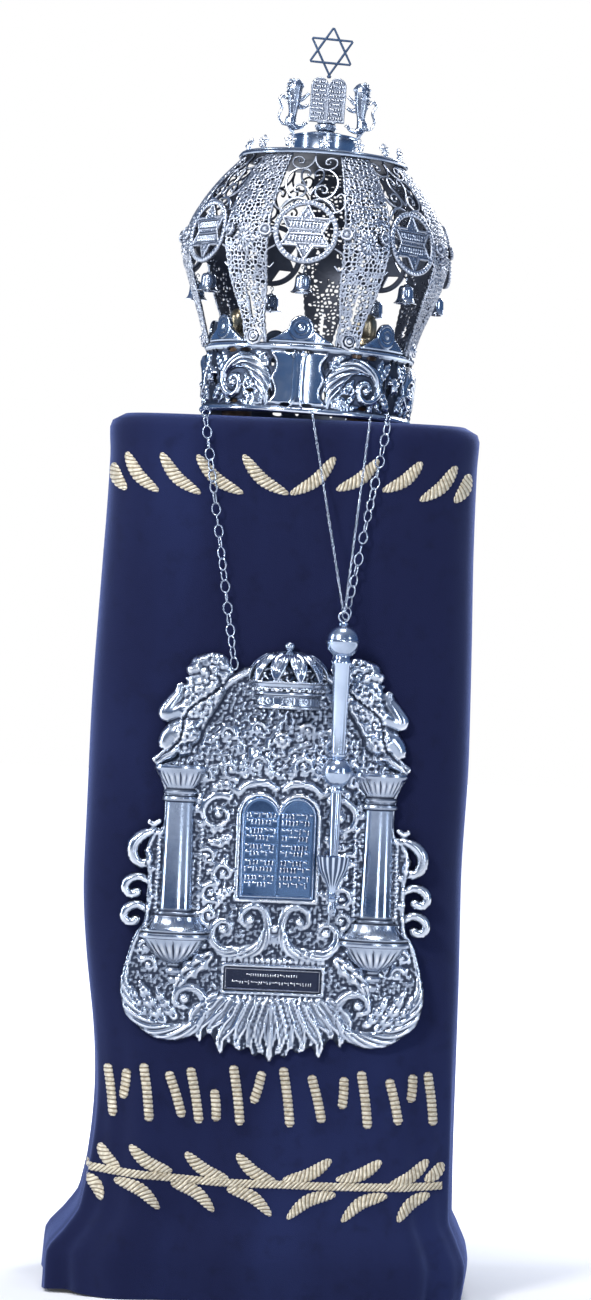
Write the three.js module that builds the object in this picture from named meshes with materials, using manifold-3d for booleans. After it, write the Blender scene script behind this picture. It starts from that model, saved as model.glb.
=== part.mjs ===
// A dressed Torah scroll that stands upright: two wooden rollers with their parchment under a velvet
// mantle, with a silver crown over the stave tops and a breastplate and a pointer hung in front on chains.
// Millimetres, +Z up, the front faces -Y. The origin is on the floor, in the middle of the object's box.
import * as THREE from 'three';
import { mergeVertices } from 'three/addons/utils/BufferGeometryUtils.js';
import Module from 'manifold-3d';

const wasm = await Module();
wasm.setup();

// Driving dimensions
const GAP = 0.35; // between pieces that touch
const MANTLE = { top: 828, wall: 3, corner: 5.5, around: 32 };
const ROLLER = { middle: 8, apart: 120, core: 15, handle: 18, foot: 22 };
const DISC = { radius: 58.5, thick: 16, low: 144, high: 806 };
const PARCHMENT = { radius: 56, sides: 12, sheet: 1.2 };
const CAP = { radius: 11, bottom: 905, top: 937 };
const CROWN = { x: 13.5, z: 831.7, lean: 1.7, parts: 7, firstMedallion: -5.2 }; // lean and turn in degrees
const BAND = { radius: 98.5, wall: 2, height: 66, segments: 28 };
const CREST = { width: 62, height: 27, thick: 1.8 };
const TOP_PLATE = { radius: 81.5, bottom: 246.5 };
const DRUM = { radius: 29.5, cap: 15.5, bottom: 256.5, height: 12 };
const VASE = { radius: 11, bottom: 274, height: 13 };
const CROWN_TABLETS = { width: 34, height: 43, thick: 4, bottom: 287.4 };
const STAR = { radius: 25, bar: 1.9, thick: 2, twist: 1.5 };
const MEDALLION = { radius: 30, tube: 4, z: 168, r: 123.6, tilt: 9, thick: 2.8 };
const ROSETTE = { radius: 6.5, thick: 3 };
const BELL = { radius: 11, height: 17, hook: 9 };
const PLATE = { x: 6.3, z: 423.8, thick: 2.4, back: -103.8 };
const COLUMN = { u: 93.2, proud: 0.62 };
const BREAST_TABLETS = { width: 70, height: 95, thick: 3, v: -45.7 };
const NAME_PLATE = { width: 90, height: 21, thick: 2.2, v: -121.8 };
const SMALL_CROWN = { u: 3, base: 132.4, radius: 30, belly: 36, band: 13, height: 45, proud: 0.75 };
const POINTER = { x: 58, y: -136, tip: 357.5, ring: 644 };
const LINK = { pitch: 10.8, width: 9, thick: 2.4, pinch: 3 };

// Places are measured from the middle of the mantle's top. This brings the object's middle to the origin.
const MIDDLE_SHIFT = { x: 0.2, y: 9.1 };

// Small tools
const radians = THREE.MathUtils.degToRad;

function closed(geometry) {
  // The geometry with shared corners and its faces pointing out, as a solid.
  const bare = geometry.index ? geometry.toNonIndexed() : geometry.clone();
  bare.deleteAttribute('normal');
  bare.deleteAttribute('uv');
  const merged = mergeVertices(bare, 1e-4);
  const at = merged.attributes.position;
  const corner = (i) => new THREE.Vector3().fromBufferAttribute(at, i);
  const faces = [];
  let volume = 0;
  for (let i = 0; i < merged.index.count; i += 3) {
    const [a, b, c] = [0, 1, 2].map((k) => merged.index.getX(i + k));
    if (a === b || b === c || a === c) continue;
    faces.push([a, b, c]);
    volume += corner(a).dot(corner(b).cross(corner(c)));
  }
  const triVerts = new Uint32Array(faces.flatMap((f) => (volume < 0 ? [f[0], f[2], f[1]] : f)));
  const vertProperties = new Float32Array(at.array);
  return new wasm.Manifold(new wasm.Mesh({ numProp: 3, vertProperties, triVerts }));
}

function joined(solids) {
  return solids.reduce((all, solid) => all.add(solid));
}

function geometryOf(solid) {
  const mesh = solid.getMesh();
  const geometry = new THREE.BufferGeometry();
  geometry.setAttribute('position', new THREE.BufferAttribute(new Float32Array(mesh.vertProperties), 3));
  geometry.setIndex(new THREE.BufferAttribute(new Uint32Array(mesh.triVerts), 1));
  geometry.computeVertexNormals();
  return geometry;
}

function fromFaces(points, faces) {
  const geometry = new THREE.BufferGeometry();
  geometry.setAttribute('position', new THREE.Float32BufferAttribute(points.flat(), 3));
  geometry.setIndex(faces.flat());
  return geometry;
}

function loft(rings, endless = false) {
  // Rings of the same number of points, joined one after another and capped, or closed on themselves.
  const n = rings[0].length;
  const last = rings.length - 1;
  const faces = [];
  for (let r = 0; r < (endless ? rings.length : last); r++) {
    const next = (r + 1) % rings.length;
    for (let i = 0; i < n; i++) {
      const j = (i + 1) % n;
      faces.push([r * n + i, r * n + j, next * n + j], [r * n + i, next * n + j, next * n + i]);
    }
  }
  for (let i = 1; !endless && i < n - 1; i++) {
    faces.push([0, i + 1, i], [last * n, last * n + i, last * n + i + 1]);
  }
  return fromFaces(rings.flat(), faces);
}

function turned(profile, sides) {
  // A turned solid about +Z from [radius, height] pairs.
  const points = profile.map(([r, z]) => new THREE.Vector2(r, z));
  return new THREE.LatheGeometry(points, sides).rotateX(Math.PI / 2);
}

function upright(shape, thick) {
  // A flat shape stood up in the XZ plane, its back at y = 0 and its front at y = -thick.
  const settings = { depth: thick, bevelEnabled: false, curveSegments: 5 };
  return new THREE.ExtrudeGeometry(shape, settings).rotateX(Math.PI / 2);
}

function outline(points) {
  return new THREE.Shape(points.map(([x, y]) => new THREE.Vector2(x, y)));
}

function mirrored(half) {
  // A half outline that runs down its right side from the middle, with its left side added.
  const left = half.slice(1, -1).reverse().map(([x, y]) => [-x, y]);
  return [...half, ...left];
}

function limb(points, sides = 5, flat = 1) {
  // A tapering rod through [x, z, radius] points in the XZ plane, with its depth flattened.
  const rings = points.map(([x, z, r], i) => {
    const before = points[Math.max(i - 1, 0)];
    const after = points[Math.min(i + 1, points.length - 1)];
    const along = new THREE.Vector2(after[0] - before[0], after[1] - before[1]).normalize();
    return Array.from({ length: sides }, (_, k) => {
      const turn = (2 * Math.PI * k) / sides;
      const across = r * Math.cos(turn);
      return [x - along.y * across, r * flat * Math.sin(turn), z + along.x * across];
    });
  });
  return closed(loft(rings));
}

function reading(table, at) {
  // The value at a height, on straight lines between the rows of a table of [height, value].
  const i = Math.max(1, table.findIndex(([z], k) => z >= at && k > 0));
  const [[z0, v0], [z1, v1]] = at >= table.at(-1)[0] ? table.slice(-2) : [table[i - 1], table[i]];
  return v0 + ((v1 - v0) * (at - z0)) / (z1 - z0);
}

const root = new THREE.Group();
root.position.set(MIDDLE_SHIFT.x, MIDDLE_SHIFT.y, 0);
const FINISH = {
  velvet: { color: 0x12205e, roughness: 0.9, metalness: 0 },
  silver: { color: 0xb9c2cf, roughness: 0.28, metalness: 1 },
  engraved: { color: 0x3c4252, roughness: 0.35, metalness: 1 },
  brass: { color: 0xc79a4b, roughness: 0.3, metalness: 1 },
  wood: { color: 0x2a1a12, roughness: 0.5, metalness: 0 },
  parchment: { color: 0xe2d3b0, roughness: 0.8, metalness: 0 },
};

function add(name, finish, solid, group = root) {
  const mesh = new THREE.Mesh(geometryOf(solid), new THREE.MeshStandardMaterial(FINISH[finish]));
  mesh.name = name;
  group.add(mesh);
  return mesh;
}

// Rollers, their brass caps and the parchment
function roller() {
  const { core, handle, foot } = ROLLER;
  const { radius, thick, low, high } = DISC;
  const profile = [
    [0, 0], [foot - 3, 0], [foot, 5], [foot, 14], [handle - 4, 22], [handle + 2, 90], [core - 1, 132],
    [core + 6, low], [radius, low], [radius, low + thick], [core, low + thick], [core, high],
    [radius, high], [radius, high + thick], [core, high + thick], [core - 4, CAP.bottom], [0, CAP.bottom],
  ];
  return closed(turned(profile, 12));
}

function staveCap() {
  const { radius, bottom, top } = CAP;
  const profile = [
    [0, bottom + GAP], [radius, bottom + GAP], [radius, top - 9], [radius * 0.8, top - 3], [0, top],
  ];
  return closed(turned(profile, 12));
}

function parchment() {
  // The two wound ends of the one parchment, and the stretch that runs from one to the other behind them.
  const bottom = DISC.low + DISC.thick + GAP;
  const top = DISC.high - GAP;
  const { radius, sides, sheet } = PARCHMENT;
  const bore = ROLLER.core + GAP;
  const wound = [-1, 1].map((side) => {
    const ring = [[bore, bottom], [radius, bottom], [radius, top], [bore, top], [bore, bottom]];
    return closed(turned(ring, sides)).translate([(side * ROLLER.apart) / 2, 0, 0]);
  });
  const stretch = new THREE.BoxGeometry(ROLLER.apart, sheet, top - bottom);
  stretch.translate(0, radius - sheet, (top + bottom) / 2);
  return joined([...wound, closed(stretch)]);
}

for (const [name, side] of [['left', -1], ['right', 1]]) {
  const x = ROLLER.middle + (side * ROLLER.apart) / 2;
  add(`roller_${name}`, 'wood', roller()).position.x = x;
  add(`stave_cap_${name}`, 'brass', staveCap()).position.x = x;
}
add('parchment', 'parchment', parchment()).position.x = ROLLER.middle;

// Mantle: rows of [height, left, right, half depth], from the hem up
const MANTLE_ROWS = [
  [0, -203, 200, 118], [36, -202, 203, 119], [62, -183, 194, 113], [82, -171, 186, 107],
  [190, -159, 185, 102], [400, -178, 180, 103], [520, -177, 184, 103], [790, -169.5, 180, 103],
  [813, -171, 181, 104], [823, -168, 178, 101], [MANTLE.top, -158, 168, 91],
];
const BARE_ROWS = [0, 82, 190, 400, 790]; // the rows that the inside keeps
const HEM_FOLDS = { count: 9, deep: 3.5, fade: 320, waves: 5, lift: 4 };
const STAVE_HOLE = { radius: 16.5, reach: 20 };

function mantleRing([z, left, right, depth], inset) {
  // A rounded oblong with soft upright folds that fade out above the hem.
  const { around, corner } = MANTLE;
  const fading = Math.max(0, 1 - z / HEM_FOLDS.fade);
  const middle = (left + right) / 2;
  return Array.from({ length: around }, (_, i) => {
    const turn = (2 * Math.PI * i) / around;
    const [c, s] = [Math.cos(turn), Math.sin(turn)];
    const fold = HEM_FOLDS.deep * fading * Math.sin(HEM_FOLDS.count * turn);
    const across = (right - left) / 2 - inset + fold;
    const deep = depth - inset + fold;
    const lift = z === 0 ? (HEM_FOLDS.lift / 2) * (1 + Math.sin(HEM_FOLDS.waves * turn + 1)) : 0;
    return [
      middle + across * Math.sign(c) * Math.abs(c) ** (2 / corner),
      deep * Math.sign(s) * Math.abs(s) ** (2 / corner),
      z + lift,
    ];
  });
}

function mantle() {
  const { wall, top } = MANTLE;
  const outside = MANTLE_ROWS.map((row) => mantleRing(row, 0));
  const insideRows = MANTLE_ROWS.filter(([z]) => BARE_ROWS.includes(z));
  const inside = insideRows.map((row) => mantleRing(row, wall)).reverse();
  const under = mantleRing([top - wall, -154, 164, 87], wall);
  const shell = closed(loft([under, ...inside, ...outside].reverse()));
  const { radius, reach } = STAVE_HOLE;
  const drill = [[0, top - reach], [radius, top - reach], [radius, top + reach], [0, top + reach]];
  const holes = [-1, 1].map((side) => (
    closed(turned(drill, 12)).translate([ROLLER.middle + (side * ROLLER.apart) / 2, 0, 0])));
  return holes.reduce((cloth, hole) => cloth.subtract(hole), shell);
}

add('mantle', 'velvet', mantle());

// Crown: a group that leans a little to the right of plumb
const crown = new THREE.Group();
crown.position.set(CROWN.x, 0, CROWN.z);
crown.rotation.y = radians(CROWN.lean);
root.add(crown);

// The outside of the ribs, as [height, radius] above the crown's foot, and how wide a rib is there
const CROWN_PROFILE = [
  [66, 99.5], [90, 106.5], [118, 116.5], [138, 123], [158, 126.5],
  [180, 122.5], [200, 113], [224, 96.5], [245.5, 77],
];
const RIB_WIDTHS = [
  [66, 25], [84, 25], [102, 32], [120, 40], [140, 45], [160, 48], [180, 47], [220, 40], [246, 30],
];

function onCrown(degrees, z, out = 0) {
  // A point on the crown's outside, its angle taken from the front towards the right.
  const r = reading(CROWN_PROFILE, z) + out;
  return [r * Math.sin(radians(degrees)), -r * Math.cos(radians(degrees)), z];
}

function crest(degrees) {
  // A low gable with a round head, standing on the band's upper rim.
  const { width, height, thick } = CREST;
  const heads = [[-0.5, 0.05], [-0.24, 0.45], [-0.12, 0.94], [0.12, 0.94], [0.24, 0.45], [0.5, 0.05]];
  const r = BAND.radius - 0.4;
  const rings = heads.map(([across, high]) => {
    const turn = radians(degrees) + (across * width) / r;
    const foot = BAND.height - 2.2;
    const head = BAND.height + high * height;
    return [[r, foot], [r, head], [r - thick, head], [r - thick, foot]]
      .map(([out, z]) => [out * Math.sin(turn), -out * Math.cos(turn), z]);
  });
  return closed(loft(rings));
}

function medallionAngle(i) {
  return CROWN.firstMedallion + (360 / CROWN.parts) * i;
}

function ribAngle(i) {
  return medallionAngle(i + 0.5);
}

function band() {
  const { radius, wall, height, segments } = BAND;
  const inner = radius - wall;
  const profile = [
    [inner, 0.4], [radius + 2, 0], [radius + 3.4, 3], [radius, 7.5], [radius, height - 7],
    [radius + 2.6, height - 3], [radius + 0.6, height], [inner, height - 0.4], [inner, 0.4],
  ];
  const crests = Array.from({ length: CROWN.parts }, (_, i) => crest(medallionAngle(i)));
  return joined([closed(turned(profile, segments)), ...crests]);
}

function button(degrees, z, out) {
  // A six-sided rosette that faces out of the crown.
  const { radius, thick } = ROSETTE;
  const flower = turned([[0, 0], [radius, 0], [radius * 0.6, thick], [0, thick]], 6).rotateX(Math.PI / 2);
  flower.translate(0, -(reading(CROWN_PROFILE, z) + out), z);
  return closed(flower.rotateZ(radians(degrees)));
}

function rib(degrees, lean) {
  const rings = CROWN_PROFILE.map(([z], i) => {
    const height = i === 0 ? BAND.height + GAP : z;
    const at = degrees + (lean * (z - BAND.height)) / 180;
    const half = THREE.MathUtils.radToDeg(reading(RIB_WIDTHS, z) / 2 / reading(CROWN_PROFILE, z));
    return [[-half, -0.6], [0, 1.6], [half, -0.6], [0, -1.2]]
      .map(([side, out]) => onCrown(at + side, height, out));
  });
  return joined([closed(loft(rings)), button(degrees, BAND.height, 3)]);
}

// How far the head of a rib stands to the side of its foot, in degrees, for the two ribs at the front
const RIB_LEANS = { 0: 2.4, 6: -2 };

function scroll(degrees, side) {
  // One side of the open scroll work that rises from a medallion to the top plate.
  const path = [[2, 196, 6], [13, 208, 3], [4, 228, 0.6], [12, 243, 0]];
  const rings = path.map(([across, z, out]) => [[-1.2, 0.4], [1.2, 0.4], [0, -1.6]]
    .map(([wide, up]) => onCrown(degrees + side * (across + wide), z, out + up)));
  return closed(loft(rings));
}

// The right side of a medallion's rosette and the neck that joins it to the ring, from below
const ROSETTE_LUG = [[32, -1.5], [34, -5.6], [40.5, -5.6], [43.5, 0], [40.5, 5.6], [34, 5.6], [32, 1.5]];

function medallion(degrees) {
  // A flat ring with a solid hexagram in it, flanked by two rosettes, with scroll work above.
  const { radius, tube, z, r, tilt, thick } = MEDALLION;
  const polar = (reach, turn) => [reach * Math.sin(radians(turn)), reach * Math.cos(radians(turn))];
  const upperArc = [-60, -30, 0, 30, 60].map((turn) => polar(radius, turn));
  const lowerArc = [120, 150, 180, 210, 240].map((turn) => polar(radius, turn));
  const rightLug = [...ROSETTE_LUG].reverse();
  const leftLug = rightLug.map(([x, y]) => [-x, -y]);
  const shape = outline([...upperArc, ...rightLug, ...lowerArc, ...leftLug].reverse());
  const tip = 6; // degrees that half of a star's point covers where it meets the ring
  for (let turn = 0; turn < 360; turn += 60) {
    const inner = radius - tube;
    shape.holes.push(outline([
      polar(inner, turn + tip), polar(inner + 0.5, turn + 30), polar(inner, turn + 60 - tip),
      polar(radius / Math.sqrt(3), turn + 30),
    ]));
  }
  const flat = closed(upright(shape, thick)).rotate([-tilt, 0, 0]).translate([0, -r, z]);
  return joined([flat.rotate([0, 0, degrees]), scroll(degrees, -1), scroll(degrees, 1)]);
}

function bell() {
  // A small bell with an open mouth and the hook that it hangs on.
  const { radius, height, hook } = BELL;
  const cup = [
    [0, height], [radius * 0.5, height - 1.5], [radius * 0.68, 5], [radius, 0],
    [radius * 0.58, 4], [0, height - 4],
  ];
  const wire = limb([[0, height - 1, 0.9], [0, height + hook, 0.9]], 4);
  return joined([closed(turned(cup, 6)), wire]);
}

add('crown_band', 'silver', band(), crown);
for (let i = 0; i < CROWN.parts; i++) {
  add(`crown_rib_${i + 1}`, 'silver', rib(ribAngle(i), RIB_LEANS[i] ?? 0), crown);
  add(`crown_medallion_${i + 1}`, 'silver', medallion(medallionAngle(i)), crown);
  const hung = add(`crown_bell_${i + 1}`, 'silver', bell(), crown);
  const [x, y] = onCrown(medallionAngle(i), 138, -3.5);
  hung.position.set(x, y, MEDALLION.z - MEDALLION.radius - BELL.height - BELL.hook - 0.8);
}

function topPlate() {
  const { radius, bottom } = TOP_PLATE;
  const profile = [
    [0, bottom], [radius - 1, bottom], [radius, bottom + 2], [radius - 1.5, bottom + 5],
    [radius - 8, bottom + 5.6], [0, DRUM.bottom - GAP],
  ];
  return closed(turned(profile, 28));
}

function drum() {
  const { radius, cap, bottom, height } = DRUM;
  const top = bottom + height;
  const profile = [
    [0, bottom], [radius + 2, bottom], [radius, bottom + 2], [radius, top - 2], [radius + 1, top],
    [cap + 2, top + 0.6], [cap, top + 2.6], [cap - 5, top + 5], [0, VASE.bottom - GAP],
  ];
  return closed(turned(profile, 16));
}

function vase() {
  const { radius, bottom, height } = VASE;
  const profile = [
    [0, bottom], [radius - 2, bottom], [radius - 4, bottom + 3], [radius, bottom + 8.5], [radius - 3, bottom + 11],
    [radius - 3, bottom + height], [0, bottom + height],
  ];
  return closed(turned(profile, 12));
}

function tabletShape(width, height) {
  // Two tablets side by side: a plate whose top is two round heads.
  const half = width / 2;
  const shape = new THREE.Shape();
  shape.moveTo(-half, 0);
  shape.lineTo(half, 0);
  shape.lineTo(half, height - half / 2);
  shape.absarc(half / 2, height - half / 2, half / 2, 0, Math.PI - 0.15, false);
  shape.absarc(-half / 2, height - half / 2, half / 2, 0.15, Math.PI, false);
  return shape;
}

function star() {
  // Two triangles of flat bar laid through each other, on a bead.
  const { radius, bar, thick, twist } = STAR;
  const triangle = (reach, turn) => outline([0, 1, 2].map((k) => {
    const at = turn - (k * 2 * Math.PI) / 3;
    return [reach * Math.sin(at), reach * Math.cos(at)];
  }));
  const frames = [0, Math.PI].map((turn) => {
    const shape = triangle(radius, turn);
    shape.holes.push(triangle(radius - 2 * bar, turn));
    const depth = turn ? thick : thick * 0.8;
    return closed(upright(shape, depth).translate(0, depth / 2, 0));
  });
  const bead = closed(new THREE.SphereGeometry(2.2, 6, 4)).translate([0, 0, -radius + 0.6]);
  return joined([...frames, bead]).rotate([0, twist, 0]);
}

// The left lion on the crown, as limbs of [across, height, radius] from the crown's axis
const CROWN_LION = {
  standingLeg: [[-30, 270, 1.6], [-33, 277, 2.2], [-34, 284, 4]],
  body: [[-35, 283, 4.6], [-33, 294, 3.6], [-32, 305, 5.6], [-33, 316, 6.6], [-32, 323, 4]],
  raisedLeg: [[-34, 283, 3.6], [-26, 281, 2], [-20, 284, 1.5]],
  upperArm: [[-33, 309, 3], [-24, 308, 1.8], [-18.8, 314, 1.3]],
  lowerArm: [[-32, 303, 3], [-25, 300, 1.8], [-18.4, 303, 1.3]],
  tail: [[-37, 283, 1.4], [-44, 288, 1.2], [-42, 298, 1.1], [-46, 306, 1.2], [-41, 309, 1.4]],
};

function crownLion(side) {
  // The left lion for -1, and its mirror image for 1.
  const limbs = Object.values(CROWN_LION).map((points) => points.map(([x, z, r]) => [-side * x, z, r]));
  return joined(limbs.map((points) => limb(points, 4)));
}

add('crown_top_plate', 'silver', topPlate(), crown);
add('crown_drum', 'silver', drum(), crown);
add('crown_vase', 'silver', vase(), crown);
const crownTablets = upright(tabletShape(CROWN_TABLETS.width, CROWN_TABLETS.height), CROWN_TABLETS.thick);
crownTablets.translate(0, CROWN_TABLETS.thick / 2, CROWN_TABLETS.bottom);
const tabletsTop = CROWN_TABLETS.bottom + CROWN_TABLETS.height;
add('crown_tablets', 'silver', closed(crownTablets), crown);
add('crown_star', 'silver', star(), crown).position.z = tabletsTop + STAR.radius + 0.6;
add('crown_lion_left', 'silver', crownLion(-1), crown);
add('crown_lion_right', 'silver', crownLion(1), crown);

// Breastplate: right half of its outline, from the top down, in millimetres from its middle
const PLATE_HALF = [
  [0, 173], [31, 170], [45, 165], [64, 146], [90, 126], [97, 97], [118, 77], [109, 54], [107.5, 19.5],
  [119.5, 17.5], [133.5, 4], [138.5, -1.5], [135, -17.5], [124, -28], [135, -31], [143, -40],
  [138, -47.5], [128, -55.5], [136, -58.5], [142, -66], [132, -76], [132, -85.5], [139, -110],
  [142, -131], [139, -149.5], [135, -160], [122, -171], [107, -180.5], [87.5, -182.5], [70, -177],
  [66, -183], [56, -174], [46, -193], [39, -182.5], [28, -189.5], [19.5, -185.5], [14.5, -194],
  [7.5, -190.5], [0, -199],
];

// The left lion on the breastplate, half round, as limbs of [across, height, radius]
const PLATE_LION = {
  mane: [
    [-66, 176, 9], [-71, 168, 14], [-73, 152, 16], [-78, 136, 14.5],
    [-83, 118, 12.5], [-90, 101, 12], [-93, 90, 8],
  ],
  muzzle: [[-72, 171, 11], [-82, 165, 8], [-89, 162, 4.5]],
  jaw: [[-74, 160, 8], [-84, 155, 4.5], [-90, 153.5, 2.2]],
  arm: [[-80, 133, 9], [-97, 125, 7.5], [-111, 121, 5.5], [-108, 131, 4.5], [-99, 143, 4.6], [-96, 149, 2.5]],
  leg: [[-90, 102, 10], [-103, 104, 8.5], [-110, 99, 6.5], [-107, 90, 4.5], [-111, 82, 4], [-117, 79.5, 2.5]],
};

// A volute at each lower corner and the leaves of the fan below, in the same terms
const CORNER_VOLUTE = [
  [132, -138, 3], [129, -160, 6], [106, -175, 7], [82, -171, 7.5],
  [70, -154, 6], [78, -139, 4.5], [92, -143, 4], [88, -152, 3.5],
];
const SCROLLS = [
  [[128, 2, 3], [134, -12, 5], [120, -19, 3.5]],
  [[126, -74, 4], [130, -62, 4], [137, -69, 3]],
  [[34, -66, 4], [42, -82, 7], [54, -70, 4]],
  [[8, -92, 5], [30, -101, 6], [52, -90, 3.5]],
];
const FAN_TIPS = [[7, -192], [29, -182], [46, -184], [66, -176]];

function onPlate(points, high) {
  // A half-round relief through [across, height, radius] points, its flat back let into the plate.
  const rings = points.map(([x, z, r], i) => {
    const before = points[Math.max(i - 1, 0)];
    const after = points[Math.min(i + 1, points.length - 1)];
    const along = new THREE.Vector2(after[0] - before[0], after[1] - before[1]).normalize();
    return [[-1, 0.5], [-0.6, -0.8 * high * r], [0.6, -0.8 * high * r], [1, 0.5]]
      .map(([across, y]) => [x - along.y * across * r, y - PLATE.thick, z + along.x * across * r]);
  });
  return closed(loft(rings));
}

function breastplate() {
  const back = closed(upright(outline(mirrored(PLATE_HALF)), PLATE.thick));
  const relief = [-1, 1].flatMap((side) => {
    const flip = (points) => points.map(([x, z, r]) => [side * x, z, r]);
    const lion = Object.values(PLATE_LION).map((points) => onPlate(flip(points), 0.75));
    const scrolls = [CORNER_VOLUTE, ...SCROLLS].map((points) => onPlate(flip(points), 0.8));
    const leaves = FAN_TIPS.map(([x, z]) => [[x * 0.45, -140, 3], [x * 0.75, z + 24, 6], [x, z + 4, 1.5]]);
    return [...lion, ...scrolls, ...leaves.map((leaf) => onPlate(flip(leaf), 0.6))];
  });
  return joined([back, ...relief]);
}

function column() {
  // A half-round column: an urn below, a tapering shaft and a wide capital.
  const profile = [
    [0, -127], [5.5, -127], [8, -119], [6, -112], [11.5, -108], [27, -92], [33.5, -85], [33, -80],
    [26, -74], [22.5, -66], [15.5, -61], [13, 41], [15.5, 43], [15.5, 49], [13.5, 53], [18, 57],
    [24.5, 71], [24.5, 76], [0, 76],
  ];
  const whole = closed(turned(profile, 12));
  const behind = closed(new THREE.BoxGeometry(100, 60, 400)).translate([0, 30, 0]);
  return whole.scale([1, COLUMN.proud, 1]).subtract(behind);
}

function smallCrown() {
  // Half of a closed crown: a band, a wide crest row, a dome and a knob.
  const { radius, belly, band: rim, height, proud } = SMALL_CROWN;
  const profile = [
    [0, 0], [radius + 1.5, 0], [radius, 3], [radius, rim], [belly, rim + 5], [belly, rim + 15],
    [belly * 0.8, rim + 28], [belly * 0.35, height - 4], [3.2, height - 2], [4.4, height + 3],
    [0, height + 7],
  ];
  const behind = closed(new THREE.BoxGeometry(100, 60, 200)).translate([0, 30, 0]);
  return closed(turned(profile, 14)).scale([1, proud, 1]).subtract(behind);
}

function plainBox(width, height, thick) {
  return closed(new THREE.BoxGeometry(width, thick, height).translate(0, -thick / 2, 0));
}

// What is fixed on the breastplate: [name, finish, solid, across, height of its origin]
const breastTablets = upright(tabletShape(BREAST_TABLETS.width, BREAST_TABLETS.height), BREAST_TABLETS.thick);
const namePlate = plainBox(NAME_PLATE.width, NAME_PLATE.height, NAME_PLATE.thick);
const FIXED = [
  ['breastplate_column_left', 'silver', column(), -COLUMN.u, 0],
  ['breastplate_column_right', 'silver', column(), COLUMN.u, 0],
  ['breastplate_crown', 'silver', smallCrown(), SMALL_CROWN.u, SMALL_CROWN.base],
  ['breastplate_tablets', 'silver', closed(breastTablets), 0, BREAST_TABLETS.v],
  ['breastplate_name_plate', 'engraved', namePlate, 0, NAME_PLATE.v],
];

const onFront = new THREE.Group();
onFront.position.set(PLATE.x, PLATE.back, PLATE.z);
root.add(onFront);
add('breastplate', 'silver', breastplate(), onFront);
for (const [name, finish, solid, u, v] of FIXED) {
  add(name, finish, solid.translate([u, -PLATE.thick - GAP, v]), onFront);
}

// Chains: each is a run of flat links, turned a quarter from one to the next, along a path of corners
const CHAIN_PATHS = {
  breastplate_chain_left: [[-80, -52, 833.5], [-79, -97, 833.5], [-78.5, -108.5, 822], [-42, -112, 596]],
  breastplate_chain_right: [[91, -73, 833.5], [91.5, -97, 833.5], [91, -108.5, 822], [52, -112, 596]],
};
const POINTER_STRANDS = [
  [[20.5, -105, 833], [57.4, -135, 648]],
  [[76, -87, 833], [75, -104.6, 831], [58.6, -135, 648]],
];
const STRAND = { step: 24, half: 1.3, thin: 0.7 };

function stations(path, step) {
  // Evenly spaced places along a path of corners, each with its direction.
  const curve = new THREE.CurvePath();
  const corners = path.map((p) => new THREE.Vector3(...p));
  corners.slice(1).forEach((to, i) => curve.add(new THREE.LineCurve3(corners[i], to)));
  const count = Math.round(curve.getLength() / step);
  return Array.from({ length: count + 1 }, (_, i) => ({
    at: curve.getPointAt(i / count), along: curve.getTangentAt(Math.min(1, (i + 0.01) / count)),
  }));
}

function linkChain(path) {
  // Lozenge links, each pinched where the next one passes through it.
  const { pitch, width, thick, pinch } = LINK;
  const rings = stations(path, pitch / 2).map(({ at, along }, i) => {
    const side = new THREE.Vector3(1, 0, 0).addScaledVector(along, -along.x).normalize();
    const out = along.clone().cross(side);
    const open = i % 2 === 1;
    const flat = i % 4 === 1;
    const [u, v] = open ? [flat ? width : thick, flat ? thick : width] : [pinch, pinch];
    return [[u, 0], [0, v], [-u, 0], [0, -v]]
      .map(([a, b]) => at.clone().addScaledVector(side, a / 2).addScaledVector(out, b / 2).toArray());
  });
  return closed(loft(rings));
}

function strand(path) {
  // A fine twisted chain, as a bar whose broad side turns a quarter at each step.
  const { step, half, thin } = STRAND;
  const rings = stations(path, step).map(({ at, along }, i) => {
    const side = new THREE.Vector3(1, 0, 0).addScaledVector(along, -along.x).normalize();
    const out = along.clone().cross(side);
    const [a, b] = i % 2 ? [half, thin] : [thin, half];
    return [[a, 0], [0, b], [-a, 0], [0, -b]]
      .map(([u, v]) => at.clone().addScaledVector(side, u).addScaledVector(out, v).toArray());
  });
  return closed(loft(rings));
}

for (const [name, path] of Object.entries(CHAIN_PATHS)) add(name, 'silver', linkChain(path));

// Pointer: a turned rod with two balls and a fluted cuff, a small hand below and a ring above
function pointer() {
  const ball = (z, r) => [[0.72 * r, z - 0.68 * r], [r, z], [0.72 * r, z + 0.68 * r]];
  const profile = [
    [0, 379.5], [3.2, 379.5], [4.6, 383], [3, 386], [5, 393], [14, 411], [15.6, 421], [13.8, 420.5],
    [5, 401], [3.6, 403], [5.6, 484], ...ball(499.5, 14.4), [6.4, 514], [8.7, 603], ...ball(621, 15.8),
    [3, 637], [0, 637],
  ];
  return closed(turned(profile, 8)).translate([POINTER.x, POINTER.y, 0]);
}

function pointerHand() {
  const fist = limb([[0, 379.1, 3], [0.5, 374, 4.6], [-0.5, 367, 3.6]], 6, 0.75);
  const finger = limb([[-1, 369, 2], [-2, POINTER.tip, 1.1]], 5);
  return joined([fist, finger]).translate([POINTER.x, POINTER.y, 0]);
}

function pointerChain() {
  const ring = new THREE.TorusGeometry(4.6, 1.1, 4, 8).rotateX(Math.PI / 2);
  const held = closed(ring).translate([POINTER.x, POINTER.y, POINTER.ring - 0.4]);
  return joined([held, ...POINTER_STRANDS.map(strand)]);
}

add('pointer', 'silver', pointer());
add('pointer_hand', 'silver', pointerHand());
add('pointer_chain', 'silver', pointerChain());

export default root;
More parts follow.
